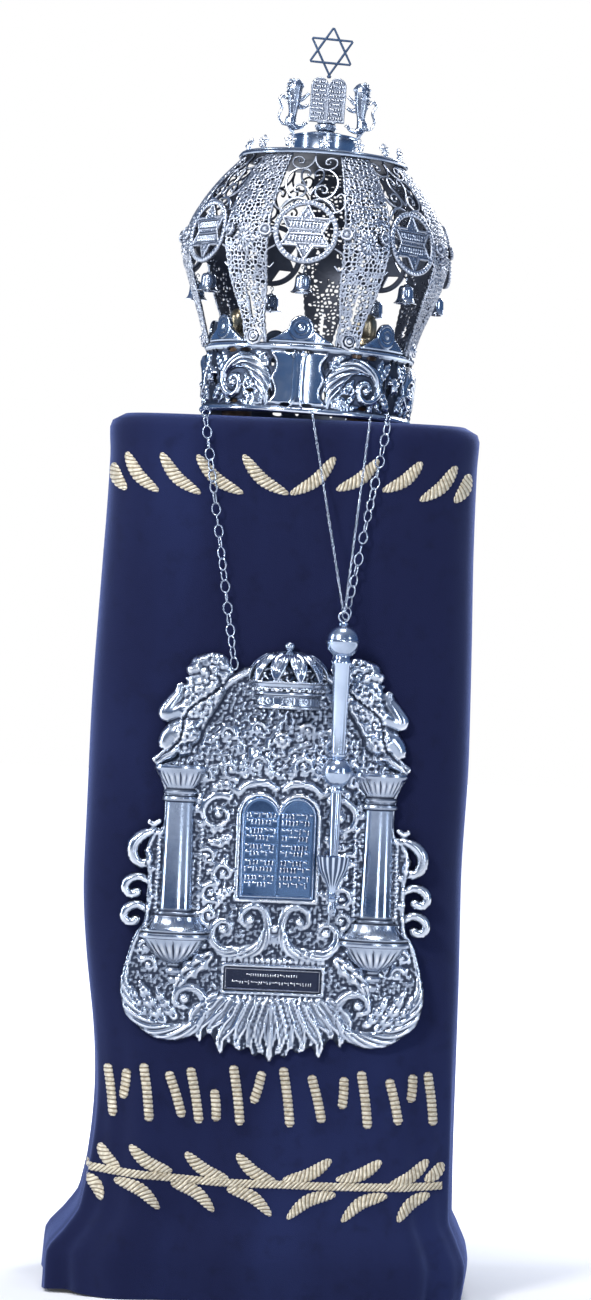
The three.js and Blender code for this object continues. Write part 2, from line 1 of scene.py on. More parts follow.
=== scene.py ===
"""The looks of a dressed Torah scroll that stands upright.

Two rollers carry the parchment under a blue velvet mantle worked with metal thread. A pierced
silver crown stands over the stave tops, and a repousse breastplate and a pointer hang in front.
Metres, +Z up, the front faces -Y. Sizes in this file are millimetres, and MM turns them to metres.
"""
import logging
import math
from collections.abc import Callable, Sequence
from dataclasses import dataclass
from enum import Enum

import bpy
import numpy as np
from mathutils import Matrix, Vector
from mathutils.bvhtree import BVHTree


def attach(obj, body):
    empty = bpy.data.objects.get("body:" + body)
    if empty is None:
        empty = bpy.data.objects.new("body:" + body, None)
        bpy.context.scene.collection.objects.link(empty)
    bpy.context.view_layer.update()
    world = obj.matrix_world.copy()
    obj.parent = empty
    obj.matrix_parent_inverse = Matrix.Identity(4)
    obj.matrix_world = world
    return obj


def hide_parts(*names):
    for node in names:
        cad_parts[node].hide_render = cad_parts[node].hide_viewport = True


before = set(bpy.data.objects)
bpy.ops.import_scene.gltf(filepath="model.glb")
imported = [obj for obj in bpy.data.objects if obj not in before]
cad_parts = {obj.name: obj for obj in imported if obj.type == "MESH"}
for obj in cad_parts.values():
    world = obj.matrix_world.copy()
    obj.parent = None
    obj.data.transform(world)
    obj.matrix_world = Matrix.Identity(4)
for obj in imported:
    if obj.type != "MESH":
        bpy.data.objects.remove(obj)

MM = 0.001
SHIFT = Vector((0.2, 9.1, 0.0))  # from the middle of the mantle's top to the middle of the whole object
CURVE_STEPS = 3  # how many stretches a rounded profile has between two of its points
VOLUTE_EYE = 0.16  # a volute's inner radius, as a share of its outer one
SHADE_REACH = 3  # how many steps of a sheet's grid its surroundings are taken over
SHADE_SCALE = 1.2  # the height over its surroundings, in millimetres, at which a place is fully proud and takes the full painted highlight
LOW_PAINTED_SHADE = 0.45  # how much painted shade the lowest ground of a sheet gets
BACK_PAINTED_SHADE = -0.32  # how much painted shade the back of a chased sheet gets
log = logging.getLogger("torah_scroll")

Point2 = tuple[float, float]
Wrap = Callable[[np.ndarray, np.ndarray, np.ndarray], np.ndarray]


class Slot(Enum):
    """The record's finishes that a piece can take."""

    WOOD = "wood"
    PARCHMENT = "parchment"
    VELVET = "velvet"
    EMBROIDERY = "embroidery"
    BRASS = "brass"
    ENGRAVED = "engraved_plate"
    SILVER = "silver"


class Side(Enum):
    """The left or right side of the object in the picture, as the sign of its X."""

    LEFT = -1
    RIGHT = 1


# Modelling by hand


def deselect() -> None:
    """Leave edit mode and let go of everything that is selected."""
    if bpy.context.mode != "OBJECT":
        bpy.ops.object.mode_set(mode="OBJECT")
    bpy.ops.object.select_all(action="DESELECT")


def pick(*things: bpy.types.Object) -> None:
    """Select only these objects, with the first one active."""
    deselect()
    for thing in things:
        thing.select_set(True)
    bpy.context.view_layer.objects.active = things[0]


def named(name: str) -> bpy.types.Object:
    """Give the active object and its mesh a name, and return the object."""
    thing = bpy.context.object
    thing.name = name
    thing.data.name = name
    return thing


def places(thing: bpy.types.Object) -> np.ndarray:
    """The object's vertices as rows of x, y, z in its own units."""
    found = np.empty(len(thing.data.vertices) * 3)
    thing.data.vertices.foreach_get("co", found)
    return found.reshape(-1, 3)


def put(thing: bpy.types.Object, where: np.ndarray) -> None:
    """Move the object's vertices to the given rows of x, y, z."""
    thing.data.vertices.foreach_set("co", np.ascontiguousarray(where, dtype=float).ravel())
    thing.data.update()


def mark(thing: bpy.types.Object, name: str, values: np.ndarray) -> None:
    """Store one number for each vertex under a name that a material can read."""
    layer = thing.data.attributes.new(name, "FLOAT", "POINT")
    layer.data.foreach_set("value", np.ascontiguousarray(values, dtype=float))


def apply_modifier(thing: bpy.types.Object, kind: str, **settings: object) -> None:
    """Add a modifier with these settings and apply it.

    Args:
        thing: the object that gets it.
        kind: the modifier's type, such as SOLIDIFY.
        **settings: the modifier's own values.
    """
    pick(thing)
    bpy.ops.object.modifier_add(type=kind)
    modifier = thing.modifiers[-1]
    for key, value in settings.items():
        setattr(modifier, key, value)
    bpy.ops.object.modifier_apply(modifier=modifier.name)


def smooth(thing: bpy.types.Object, degrees: float = 180.0) -> None:
    """Shade smooth, with creases sharper than the angle kept."""
    pick(thing)
    if degrees >= 180.0:
        bpy.ops.object.shade_smooth()
    else:
        bpy.ops.object.shade_smooth_by_angle(angle=math.radians(degrees))


def outward(thing: bpy.types.Object, merge: float = 0.0) -> None:
    """Merge doubles closer than a distance in the mesh's units and turn the faces outward."""
    pick(thing)
    bpy.ops.object.mode_set(mode="EDIT")
    bpy.ops.mesh.select_all(action="SELECT")
    if merge:
        bpy.ops.mesh.remove_doubles(threshold=merge)
    bpy.ops.mesh.normals_make_consistent(inside=False)
    deselect()


def joined(name: str, things: Sequence[bpy.types.Object]) -> bpy.types.Object:
    """Join several objects into one with a name."""
    pick(*things)
    if len(things) > 1:
        bpy.ops.object.join()
    return named(name)


def moved(thing: bpy.types.Object, matrix: Matrix) -> bpy.types.Object:
    """Move the mesh itself by a matrix, so that the object stays at the origin."""
    thing.data.transform(matrix)
    thing.data.update()
    return thing


def copied(thing: bpy.types.Object, name: str, matrix: Matrix) -> bpy.types.Object:
    """Copy an object with a mesh of its own, and move the copy's mesh."""
    pick(thing)
    bpy.ops.object.duplicate()
    return moved(named(name), matrix)


def spun(name: str, profile: Sequence[Point2], steps: int, crease: float = 40.0) -> bpy.types.Object:
    """Spin a profile about Z into a turned piece.

    Args:
        name: the object's name.
        profile: radius and height of each point, in millimetres, from the axis back to the axis.
        steps: how many sides the round has.
        crease: edges sharper than this many degrees stay sharp.

    Returns:
        The turned object, in millimetres.
    """
    deselect()
    bpy.ops.mesh.primitive_plane_add(size=1)
    bpy.ops.object.mode_set(mode="EDIT")
    bpy.ops.mesh.select_mode(type="VERT")
    bpy.ops.mesh.select_all(action="SELECT")
    bpy.ops.mesh.merge(type="CENTER")
    bpy.ops.transform.translate(value=(profile[0][0], 0, profile[0][1]))
    for (r0, z0), (r1, z1) in zip(profile, profile[1:]):
        bpy.ops.mesh.extrude_region_move(TRANSFORM_OT_translate={"value": (r1 - r0, 0, z1 - z0)})
    bpy.ops.mesh.select_all(action="SELECT")
    bpy.ops.mesh.spin(steps=steps, angle=2 * math.pi, center=(0, 0, 0), axis=(0, 0, 1))
    thing = named(name)
    outward(thing, merge=0.02)
    smooth(thing, crease)
    return thing


def curved(profile: Sequence[Point2]) -> list[Point2]:
    """Smooth a profile by passing a rounded curve through its points."""
    points = [Vector(p) for p in profile]
    ends = [points[0], *points, points[-1]]
    found = []
    for a, b, c, d in zip(ends, ends[1:], ends[2:], ends[3:]):
        for k in range(CURVE_STEPS):
            t = k / CURVE_STEPS
            found.append(0.5 * (2 * b + (c - a) * t + (2 * a - 5 * b + 4 * c - d) * t * t
                                + (3 * b - a - 3 * c + d) * t ** 3))
    found.append(points[-1])
    return [(max(0.0, p.x), p.y) for p in found]


def wire(name: str, path: Sequence[Sequence[float]], radii: float | Sequence[float],
         sides: int = 8, endless: bool = False) -> bpy.types.Object:
    """Draw a round wire along a path and make it a mesh.

    Args:
        name: the object's name.
        path: points in millimetres.
        radii: the wire's radius, or one radius for each point.
        sides: how many sides the round has.
        endless: whether the last point joins the first.

    Returns:
        The wire as a closed mesh, in millimetres.
    """
    deselect()
    bpy.ops.curve.primitive_nurbs_path_add()
    thing = bpy.context.object
    curve = thing.data
    curve.splines.clear()
    spline = curve.splines.new("POLY")
    spline.points.add(len(path) - 1)
    sizes = [radii] * len(path) if isinstance(radii, (int, float)) else list(radii)
    for point, place, size in zip(spline.points, path, sizes):
        point.co = (*place, 1.0)
        point.radius = size
    spline.use_cyclic_u = endless
    curve.bevel_depth = 1.0
    curve.bevel_resolution = max(0, sides // 2 - 2)
    curve.use_fill_caps = not endless
    bpy.ops.object.convert(target="MESH")
    thing = named(name)
    outward(thing, merge=0.002)
    smooth(thing, 60.0)
    return thing


def through(points: Sequence[Sequence[float]], steps: int = 6) -> list[list[float]]:
    """A rounded path through points of any dimension."""
    rows = np.array([points[0], *points, points[-1]], dtype=float)
    found = []
    for a, b, c, d in zip(rows, rows[1:], rows[2:], rows[3:]):
        for t in np.arange(steps) / steps:
            found.append(0.5 * (2 * b + (c - a) * t + (2 * a - 5 * b + 4 * c - d) * t * t
                                + (3 * b - a - 3 * c + d) * t ** 3))
    found.append(rows[-1])
    return [list(row) for row in found]


def spiral(centre: Point2, reach: float, start: float, turns: float, hand: int,
           steps: int = 22) -> list[Point2]:
    """A volute's path from its outside in.

    Args:
        centre: the eye's place.
        reach: the radius at the outer end.
        start: the angle of the outer end in degrees, from the right, anticlockwise.
        turns: how many times it goes round.
        hand: 1 winds anticlockwise on its way in, -1 clockwise.
        steps: how many stretches it is drawn with.

    Returns:
        Points from the outer end to the inner end.
    """
    found = []
    for k in range(steps + 1):
        t = k / steps
        r = reach * (VOLUTE_EYE + (1 - VOLUTE_EYE) * (1 - t) ** 1.15)
        turn = math.radians(start) + hand * 2 * math.pi * turns * t
        found.append((centre[0] + r * math.cos(turn), centre[1] + r * math.sin(turn)))
    return found


class Chased:
    """Sheet metal worked in relief: heights over a flat sheet of u and v, all in millimetres."""

    def __init__(self, left: float, right: float, low: float, high: float, step: float) -> None:
        """Lay out a plain sheet between these edges, with a grid of about this step."""
        self.across = int(round((right - left) / step)) + 1
        self.up = int(round((high - low) / step)) + 1
        self.step = step
        self.u, self.v = np.meshgrid(np.linspace(left, right, self.across), np.linspace(low, high, self.up))
        self.h = np.zeros_like(self.u)
        self.room = np.full_like(self.u, 99.0)
        self.low = 0.0  # relief under this height gets extra painted shade

    def near(self, points: Sequence[Point2], reach: float) -> tuple[tuple[slice, slice], np.ndarray,
                                                                    np.ndarray]:
        """Measure the sheet against a path.

        Args:
            points: the path.
            reach: how far from the path to look.

        Returns:
            The window of the grid around the path, how far along the path each place there is, from 0
            to 1, and its signed distance to the side, positive on the left.
        """
        path = np.array(points, dtype=float)
        low, high = path.min(axis=0) - reach, path.max(axis=0) + reach
        columns = np.searchsorted(self.u[0], [low[0], high[0]])
        rows = np.searchsorted(self.v[:, 0], [low[1], high[1]])
        window = (slice(rows[0], max(rows[1], rows[0] + 1)),
                  slice(columns[0], max(columns[1], columns[0] + 1)))
        u, v = self.u[window], self.v[window]
        lengths = np.linalg.norm(np.diff(path, axis=0), axis=1)
        total = max(lengths.sum(), 1e-6)
        gone = 0.0
        best = np.full_like(u, 1e9)
        along = np.zeros_like(u)
        beside = np.full_like(u, 1e9)
        for (au, av), (bu, bv), length in zip(path, path[1:], lengths):
            if length < 1e-6:
                continue
            du, dv = (bu - au) / length, (bv - av) / length
            t = np.clip((u - au) * du + (v - av) * dv, 0, length)
            off_u, off_v = u - au - t * du, v - av - t * dv
            distance = np.hypot(off_u, off_v)
            closer = distance < best
            best = np.where(closer, distance, best)
            along = np.where(closer, (gone + t) / total, along)
            beside = np.where(closer, distance * np.where(du * off_v - dv * off_u >= 0, 1, -1), beside)
            gone += length
        return window, along, beside

    def press(self, window: tuple[slice, slice], height: np.ndarray, over: bool = False) -> None:
        """Raise a window of the sheet to a height, or by that height where it lies over what is there."""
        if over:
            self.h[window] += height
        else:
            self.h[window] = np.maximum(self.h[window], height)

    def rod(self, points: Sequence[Point2], radii: float | Sequence[float], high: float = 0.8,
            groove: float = 0.0, over: bool = False, floor: float = 0.0) -> None:
        """Raise a half-round moulding along a path.

        Args:
            points: the path.
            radii: half its width, or half widths spread evenly along it.
            high: its height as a share of the half width.
            groove: how deep a line runs down its middle, as a share of its height.
            over: whether it is added to what is there.
            floor: a height that it stands on.
        """
        widths = np.atleast_1d(np.array(radii, dtype=float))
        window, along, beside = self.near(points, widths.max())
        r = np.interp(along, np.linspace(0, 1, len(widths)), widths)
        s = np.abs(beside) / np.maximum(r, 1e-6)
        height = high * r * np.sqrt(np.clip(1 - s * s, 0, 1)) * (1 - groove * np.exp(-((s / 0.3) ** 2)))
        self.press(window, np.where(s < 1, height + (0 if over else floor), 0), over)

    def dome(self, u: float, v: float, r: float, high: float = 0.8, over: bool = False,
             floor: float = 0.0) -> None:
        """Raise a round boss."""
        self.rod([(u, v), (u + 0.01, v)], r, high, over=over, floor=floor)

    def leaf(self, points: Sequence[Point2], width: float, high: float, lobes: int = 4, floor: float = 0.0,
             ribs: float = 0.0) -> None:
        """Raise an acanthus leaf along a path, from its stalk to its tip.

        Args:
            points: the leaf's midrib.
            width: half its greatest width.
            high: its greatest height.
            lobes: how many lobes it has on each side.
            floor: a height that it stands on.
            ribs: how many veins run along each half; with none they cross it.
        """
        window, along, beside = self.near(points, width * 1.2)
        swell = np.sin(np.pi * np.clip(along, 0, 1) ** 0.75) ** 0.7
        edge = width * (0.12 + swell) * (0.84 + 0.16 * np.cos(2 * np.pi * (lobes * along - 0.1)))
        s = np.abs(beside) / np.maximum(edge, 1e-6)
        veins = 0.7 + 0.3 * np.cos(2 * np.pi * (ribs * s if ribs else lobes * along - 0.6 * s))
        rib = 1 - 0.55 * np.exp(-((np.abs(beside) / (0.1 * width + 0.25)) ** 2))
        height = high * np.sqrt(np.clip(1 - s * s, 0, 1)) * veins * rib
        inside = (s < 1) & (along > 0.001) & (along < 0.999)
        self.press(window, np.where(inside, floor + height, 0))

    def fluted(self, band: Sequence[Sequence[float]], pitch: float, floor: float) -> None:
        """Raise a long band with flutes that leave it slowly on one side, as an acanthus stalk has.

        Args:
            band: u, v and half width of each of its points.
            pitch: the length in which one flute leaves the band, negative to leave on the right.
            floor: a height that it stands on.
        """
        path = through(band, 5)
        points, radii = [(p[0], p[1]) for p in path], [p[2] for p in path]
        window, along, beside = self.near(points, max(radii))
        r = np.interp(along, np.linspace(0, 1, len(radii)), radii)
        s = beside / np.maximum(r, 1e-6)
        total = sum(math.dist(a, b) for a, b in zip(points, points[1:]))
        flutes = 0.7 + 0.3 * np.cos(2 * math.pi * (along * total / pitch + 1.5 * s))
        height = 0.85 * np.minimum(r, 5) * np.sqrt(np.clip(1 - s * s, 0, 1)) * flutes
        self.press(window, np.where(np.abs(s) < 1, floor + height, 0))

    def volute(self, centre: Point2, reach: float, start: float, hand: int, thick: float,
               turns: float = 1.35, frill: int = 5, floor: float = 0.0) -> None:
        """Raise a scroll that rolls into a bead, with small leaves on its outer side.

        Args:
            centre: the middle of its eye.
            reach: how far its outer end is from the eye.
            start: the angle of its outer end, in degrees.
            hand: 1 rolls in anticlockwise, -1 clockwise.
            thick: half its width at the outer end.
            turns: how many times it goes round.
            frill: how many leaves it carries.
            floor: a height that it stands on.
        """
        path = spiral(centre, reach, start, turns, hand)
        for k in range(frill):
            at = path[int(len(path) * (0.04 + 0.5 * k / max(frill, 1)))]
            away = math.atan2(at[1] - centre[1], at[0] - centre[0])
            length = reach * (0.62 - 0.06 * k)
            tip = (at[0] + length * math.cos(away - hand * 0.75),
                   at[1] + length * math.sin(away - hand * 0.75))
            bow = (at[0] + 0.6 * length * math.cos(away - hand * 0.1),
                   at[1] + 0.6 * length * math.sin(away - hand * 0.1))
            self.leaf(through([at, bow, tip], 4), thick * 0.95, thick * 0.75, 2, floor)
        self.rod(path, [thick, thick * 0.85, thick * 0.6, thick * 0.45], 0.95, 0.35, floor=floor)
        self.dome(centre[0], centre[1], max(thick * 0.8, reach * 0.2), 0.9, floor=floor + 0.3 * thick)

    def beads(self, points: Sequence[Point2], pitch: float, r: float, high: float = 0.8,
              floor: float = 0.0) -> None:
        """Raise a row of beads along a path."""
        path = np.array(points, dtype=float)
        lengths = np.concatenate([[0], np.cumsum(np.linalg.norm(np.diff(path, axis=0), axis=1))])
        for at in np.arange(0, lengths[-1] + pitch / 2, pitch):
            self.dome(np.interp(at, lengths, path[:, 0]), np.interp(at, lengths, path[:, 1]), r, high,
                      floor=floor)

    def cells(self, pitch: float, seed: int) -> tuple[np.ndarray, np.ndarray, np.ndarray]:
        """Scatter points about a pitch apart and measure the sheet against them.

        Args:
            pitch: the mean distance between points.
            seed: which scatter it is.

        Returns:
            The distance to the nearest point, the distance to the next nearest, and a random number
            from 0 to 1 for each nearest point.
        """
        dice = np.random.default_rng(seed)
        columns = int((self.u[0, -1] - self.u[0, 0]) / pitch) + 4
        rows = int((self.v[-1, 0] - self.v[0, 0]) / pitch) + 4
        jitter = dice.random((rows, columns, 3))
        i = ((self.u - self.u[0, 0]) / pitch).astype(int) + 1
        j = ((self.v - self.v[0, 0]) / pitch).astype(int) + 1
        first = np.full_like(self.u, 1e9)
        second = np.full_like(self.u, 1e9)
        who = np.zeros_like(self.u)
        for a in (-1, 0, 1):
            for b in (-1, 0, 1):
                at = jitter[np.clip(j + b, 0, rows - 1), np.clip(i + a, 0, columns - 1)]
                u = self.u[0, 0] + (i + a - 1 + 0.12 + 0.76 * at[..., 0]) * pitch
                v = self.v[0, 0] + (j + b - 1 + 0.12 + 0.76 * at[..., 1]) * pitch
                distance = np.hypot(self.u - u, self.v - v)
                nearer = distance < first
                second = np.where(nearer, first, np.minimum(second, distance))
                who = np.where(nearer, at[..., 2], who)
                first = np.where(nearer, distance, first)
        return first, second, who

    def trim(self, room: np.ndarray) -> None:
        """Cut the sheet where this signed distance to an edge is below zero."""
        self.room = np.minimum(self.room, room)

    def outline(self, points: Sequence[Point2]) -> np.ndarray:
        """The signed distance to a closed outline, positive inside."""
        ring = np.array([*points, points[0]], dtype=float)
        distance = np.full_like(self.u, 1e9)
        inside = np.zeros(self.u.shape, dtype=bool)
        for (au, av), (bu, bv) in zip(ring, ring[1:]):
            du, dv = bu - au, bv - av
            t = np.clip(((self.u - au) * du + (self.v - av) * dv) / max(du * du + dv * dv, 1e-9), 0, 1)
            distance = np.minimum(distance, np.hypot(self.u - au - t * du, self.v - av - t * dv))
            crosses = (av > self.v) != (bv > self.v)
            inside ^= crosses & (self.u < au + (self.v - av) * du / (dv if dv else 1e-9))
        return np.where(inside, distance, -distance)

    def soften(self, passes: int = 1) -> None:
        """Round off the relief a little."""
        for _ in range(passes):
            padded = np.pad(self.h, 1, mode="edge")
            beside = padded[1:-1, :-2] + padded[1:-1, 2:] + padded[:-2, 1:-1] + padded[2:, 1:-1]
            self.h = 0.5 * self.h + 0.125 * beside

    def shade(self) -> np.ndarray:
        """How far each place stands above or lies below its surroundings, from -1 to 1, with painted shade
        added on low ground.
        """
        broad = self.h.copy()
        for _ in range(SHADE_REACH):
            padded = np.pad(broad, 1, mode="edge")
            broad = (padded[1:-1, :-2] + padded[1:-1, 2:] + padded[:-2, 1:-1] + padded[2:, 1:-1] + broad) / 5
        painted_shade = np.clip(1 - self.h / self.low, 0, 1) if self.low else 0.0
        return np.clip((self.h - broad) / SHADE_SCALE - LOW_PAINTED_SHADE * painted_shade, -1, 1)

    def kept(self) -> np.ndarray:
        """Which cells of the grid stay, with no two that touch at a corner only."""
        room = self.room
        keep = (room[:-1, :-1] + room[:-1, 1:] + room[1:, :-1] + room[1:, 1:]) > 0
        for _ in range(3):
            a, b, c, d = keep[:-1, :-1], keep[:-1, 1:], keep[1:, :-1], keep[1:, 1:]
            falling = a & d & ~b & ~c
            rising = b & c & ~a & ~d
            if not (falling | rising).any():
                break
            keep[:-1, 1:] |= falling
            keep[:-1, :-1] |= rising
        return self.largest(keep)

    @staticmethod
    def largest(keep: np.ndarray) -> np.ndarray:
        """The part of a mask that hangs together with its fullest row."""
        found = np.zeros_like(keep)
        row = int(keep.sum(axis=1).argmax())
        found[row] = keep[row]
        while True:
            grown = found.copy()
            grown[1:] |= found[:-1]
            grown[:-1] |= found[1:]
            grown[:, 1:] |= found[:, :-1]
            grown[:, :-1] |= found[:, 1:]
            grown &= keep
            if (grown == found).all():
                return found
            found = grown

    def snapped(self, keep: np.ndarray) -> tuple[np.ndarray, np.ndarray]:
        """The grid's u and v with the places along a cut edge moved onto the edge."""
        touches = np.zeros(self.u.shape, dtype=int)
        for rows in (slice(None, -1), slice(1, None)):
            for columns in (slice(None, -1), slice(1, None)):
                touches[rows, columns] += keep
        border = (touches > 0) & (touches < 4) & (np.abs(self.room) < 1.5 * self.step)
        slope_v, slope_u = np.gradient(self.room, self.v[:, 0], self.u[0])
        steep = np.maximum(np.hypot(slope_u, slope_v), 0.35)
        off = np.clip(self.room, -0.75 * self.step, 0.75 * self.step) / steep ** 2
        return (self.u - np.where(border, off * slope_u, 0), self.v - np.where(border, off * slope_v, 0))

    def made(self, name: str, wrap: Wrap, thick: float, endless: bool = False) -> bpy.types.Object:
        """Make the sheet a closed mesh: cut its outline and holes, give it a wall and lay it in place.

        Args:
            name: the object's name.
            wrap: gives the place in millimetres of each u, v and height.
            thick: the wall's thickness, behind height zero.
            endless: whether the left edge is joined to the right one, as on a ring.

        Returns:
            The finished piece, in metres, with its relief stored as an attribute that paints highlights and
            shade, and painted shade on its back.
        """
        deselect()
        bpy.ops.mesh.primitive_grid_add(x_subdivisions=self.across - 1, y_subdivisions=self.up - 1, size=1)
        thing = named(name)
        keep = self.kept()
        middles = np.empty(len(thing.data.polygons) * 3)
        thing.data.polygons.foreach_get("center", middles)
        i, j = self.indices(middles.reshape(-1, 3), -0.5)
        bpy.ops.object.mode_set(mode="EDIT")
        bpy.ops.mesh.select_mode(type="FACE")
        bpy.ops.mesh.select_all(action="DESELECT")
        bpy.ops.object.mode_set(mode="OBJECT")
        thing.data.polygons.foreach_set("select", ~keep[j, i])
        bpy.ops.object.mode_set(mode="EDIT")
        bpy.ops.mesh.delete(type="FACE")
        deselect()
        i, j = self.indices(places(thing), 0.0)
        u, v = self.snapped(keep)
        mark(thing, "column", i)
        mark(thing, "row", j)
        put(thing, wrap(u[j, i], v[j, i], np.zeros(len(i))) * MM)
        if endless:
            outward(thing, merge=0.2 * self.step * MM)
        apply_modifier(thing, "SOLIDIFY", thickness=0.0001, offset=-1.0)
        half = len(thing.data.vertices) // 2
        front = np.arange(2 * half) < half
        found = np.empty(2 * half)
        thing.data.attributes["column"].data.foreach_get("value", found)
        i = np.rint(found).astype(int)
        thing.data.attributes["row"].data.foreach_get("value", found)
        j = np.rint(found).astype(int)
        put(thing, wrap(u[j, i], v[j, i], np.where(front, self.h[j, i], -thick)) * MM)
        # The relief attribute carries painted highlights and shade, and the back is marked for painted shade.
        mark(thing, "relief", np.where(front, self.shade()[j, i], BACK_PAINTED_SHADE))
        for word in ("column", "row"):
            thing.data.attributes.remove(thing.data.attributes[word])
        smooth(thing)
        return thing

    def indices(self, where: np.ndarray, shift: float) -> tuple[np.ndarray, np.ndarray]:
        """The column and row of each place on Blender's grid of size 1."""
        return (np.rint((where[:, 0] + 0.5) * (self.across - 1) + shift).astype(int),
                np.rint((where[:, 1] + 0.5) * (self.up - 1) + shift).astype(int))


# Finishes


class Tree:
    """A node tree with short calls to add nodes and join them."""

    def __init__(self, tree: bpy.types.NodeTree) -> None:
        """Hold a material's or a group's tree."""
        self.tree = tree

    def add(self, kind: str, **settings: object) -> bpy.types.Node:
        """Add a node; settings whose names start with a capital are inputs."""
        node = self.tree.nodes.new(kind)
        for key, value in settings.items():
            if key[0].isupper():
                node.inputs[key.replace("_", " ")].default_value = value
            else:
                setattr(node, key, value)
        return node

    def link(self, start: bpy.types.NodeSocket, end: bpy.types.NodeSocket) -> None:
        """Join two sockets."""
        self.tree.links.new(start, end)

    def math(self, operation: str, *values: object) -> bpy.types.NodeSocket:
        """A Math node on numbers or sockets, as its output."""
        node = self.add("ShaderNodeMath", operation=operation)
        for socket, value in zip(node.inputs, values):
            if isinstance(value, (int, float)):
                socket.default_value = value
            else:
                self.link(value, socket)
        return node.outputs[0]

    def mix(self, share: object, one: object, other: object) -> bpy.types.NodeSocket:
        """A colour mixed from two colours or sockets, as its output."""
        node = self.add("ShaderNodeMix", data_type="RGBA")
        for socket, value in zip((node.inputs[0], node.inputs[6], node.inputs[7]), (share, one, other)):
            if isinstance(value, bpy.types.NodeSocket):
                self.link(value, socket)
            else:
                socket.default_value = value if isinstance(value, (int, float)) else (*value, 1.0)
        return node.outputs[2]

    def noise(self, where: bpy.types.NodeSocket, scale: float, detail: float = 4.0,
              stretch: Sequence[float] = (1, 1, 1)) -> bpy.types.NodeSocket:
        """A noise pattern on the given coordinates, as its value."""
        mapping = self.add("ShaderNodeMapping", Scale=stretch)
        pattern = self.add("ShaderNodeTexNoise", Scale=scale, Detail=detail)
        self.link(where, mapping.inputs["Vector"])
        self.link(mapping.outputs[0], pattern.inputs["Vector"])
        return pattern.outputs["Fac"]

    def between(self, value: bpy.types.NodeSocket, low: float, high: float) -> bpy.types.NodeSocket:
        """A value stretched so that low gives 0 and high gives 1, smoothly."""
        node = self.add("ShaderNodeMapRange", interpolation_type="SMOOTHSTEP")
        node.inputs["From Min"].default_value = low
        node.inputs["From Max"].default_value = high
        self.link(value, node.inputs["Value"])
        return node.outputs[0]

    def bump(self, height: bpy.types.NodeSocket, strength: float, distance: float) -> bpy.types.NodeSocket:
        """A Bump node on a height, as its normal."""
        node = self.add("ShaderNodeBump", Strength=strength, Distance=distance)
        self.link(height, node.inputs["Height"])
        return node.outputs["Normal"]


def effect(name: str, inputs: dict[str, float],
           outputs: Sequence[str]) -> tuple[bpy.types.NodeTree, Tree, object, object]:
    """Start a shared effect as a shader node group.

    Args:
        name: the group's name.
        inputs: its number inputs and their starting values.
        outputs: its number outputs.

    Returns:
        The group, a Tree on it, and its input and output nodes.
    """
    group = bpy.data.node_groups.new(name, "ShaderNodeTree")
    group.interface.new_socket("Vector", in_out="INPUT", socket_type="NodeSocketVector")
    for key, value in inputs.items():
        group.interface.new_socket(key, in_out="INPUT", socket_type="NodeSocketFloat").default_value = value
    for key in outputs:
        group.interface.new_socket(key, in_out="OUTPUT", socket_type="NodeSocketFloat")
    tree = Tree(group)
    return group, tree, tree.add("NodeGroupInput"), tree.add("NodeGroupOutput")


def tarnish_group() -> bpy.types.NodeTree:
    """Cloudy tarnish, and the fine scratches and dents of handled metal."""
    group, tree, start, end = effect("tarnish", {"Cloud": 18.0, "Scratch": 420.0}, ("Cloud", "Wear"))
    clouds = tree.add("ShaderNodeTexNoise", Detail=5.0, Roughness=0.62)
    tree.link(start.outputs["Vector"], clouds.inputs["Vector"])
    tree.link(start.outputs["Cloud"], clouds.inputs["Scale"])
    tree.link(tree.between(clouds.outputs["Fac"], 0.38, 0.68), end.inputs["Cloud"])
    mapping = tree.add("ShaderNodeMapping", Scale=(1.0, 1.0, 0.22), Rotation=(0.2, 0.5, 0.3))
    scratches = tree.add("ShaderNodeTexNoise", Detail=3.0)
    tree.link(start.outputs["Vector"], mapping.inputs["Vector"])
    tree.link(mapping.outputs[0], scratches.inputs["Vector"])
    tree.link(start.outputs["Scratch"], scratches.inputs["Scale"])
    dents = tree.add("ShaderNodeTexNoise", Scale=70.0, Detail=2.0)
    tree.link(start.outputs["Vector"], dents.inputs["Vector"])
    wear = tree.math("ADD", tree.math("MULTIPLY", scratches.outputs["Fac"], 0.25), dents.outputs["Fac"])
    tree.link(wear, end.inputs["Wear"])
    return group


def thread_group() -> bpy.types.NodeTree:
    """The fine parallel threads of a cloth or a worked stitch, and how unevenly they lie."""
    group, tree, start, end = effect("thread", {"Pitch": 900.0}, ("Thread", "Uneven"))
    waves = tree.add("ShaderNodeTexWave", bands_direction="DIAGONAL", Distortion=1.6, Detail=2.0)
    tree.link(start.outputs["Vector"], waves.inputs["Vector"])
    tree.link(start.outputs["Pitch"], waves.inputs["Scale"])
    tree.link(waves.outputs["Fac"], end.inputs["Thread"])
    lumps = tree.add("ShaderNodeTexNoise", Scale=260.0, Detail=3.0)
    tree.link(start.outputs["Vector"], lumps.inputs["Vector"])
    tree.link(lumps.outputs["Fac"], end.inputs["Uneven"])
    return group


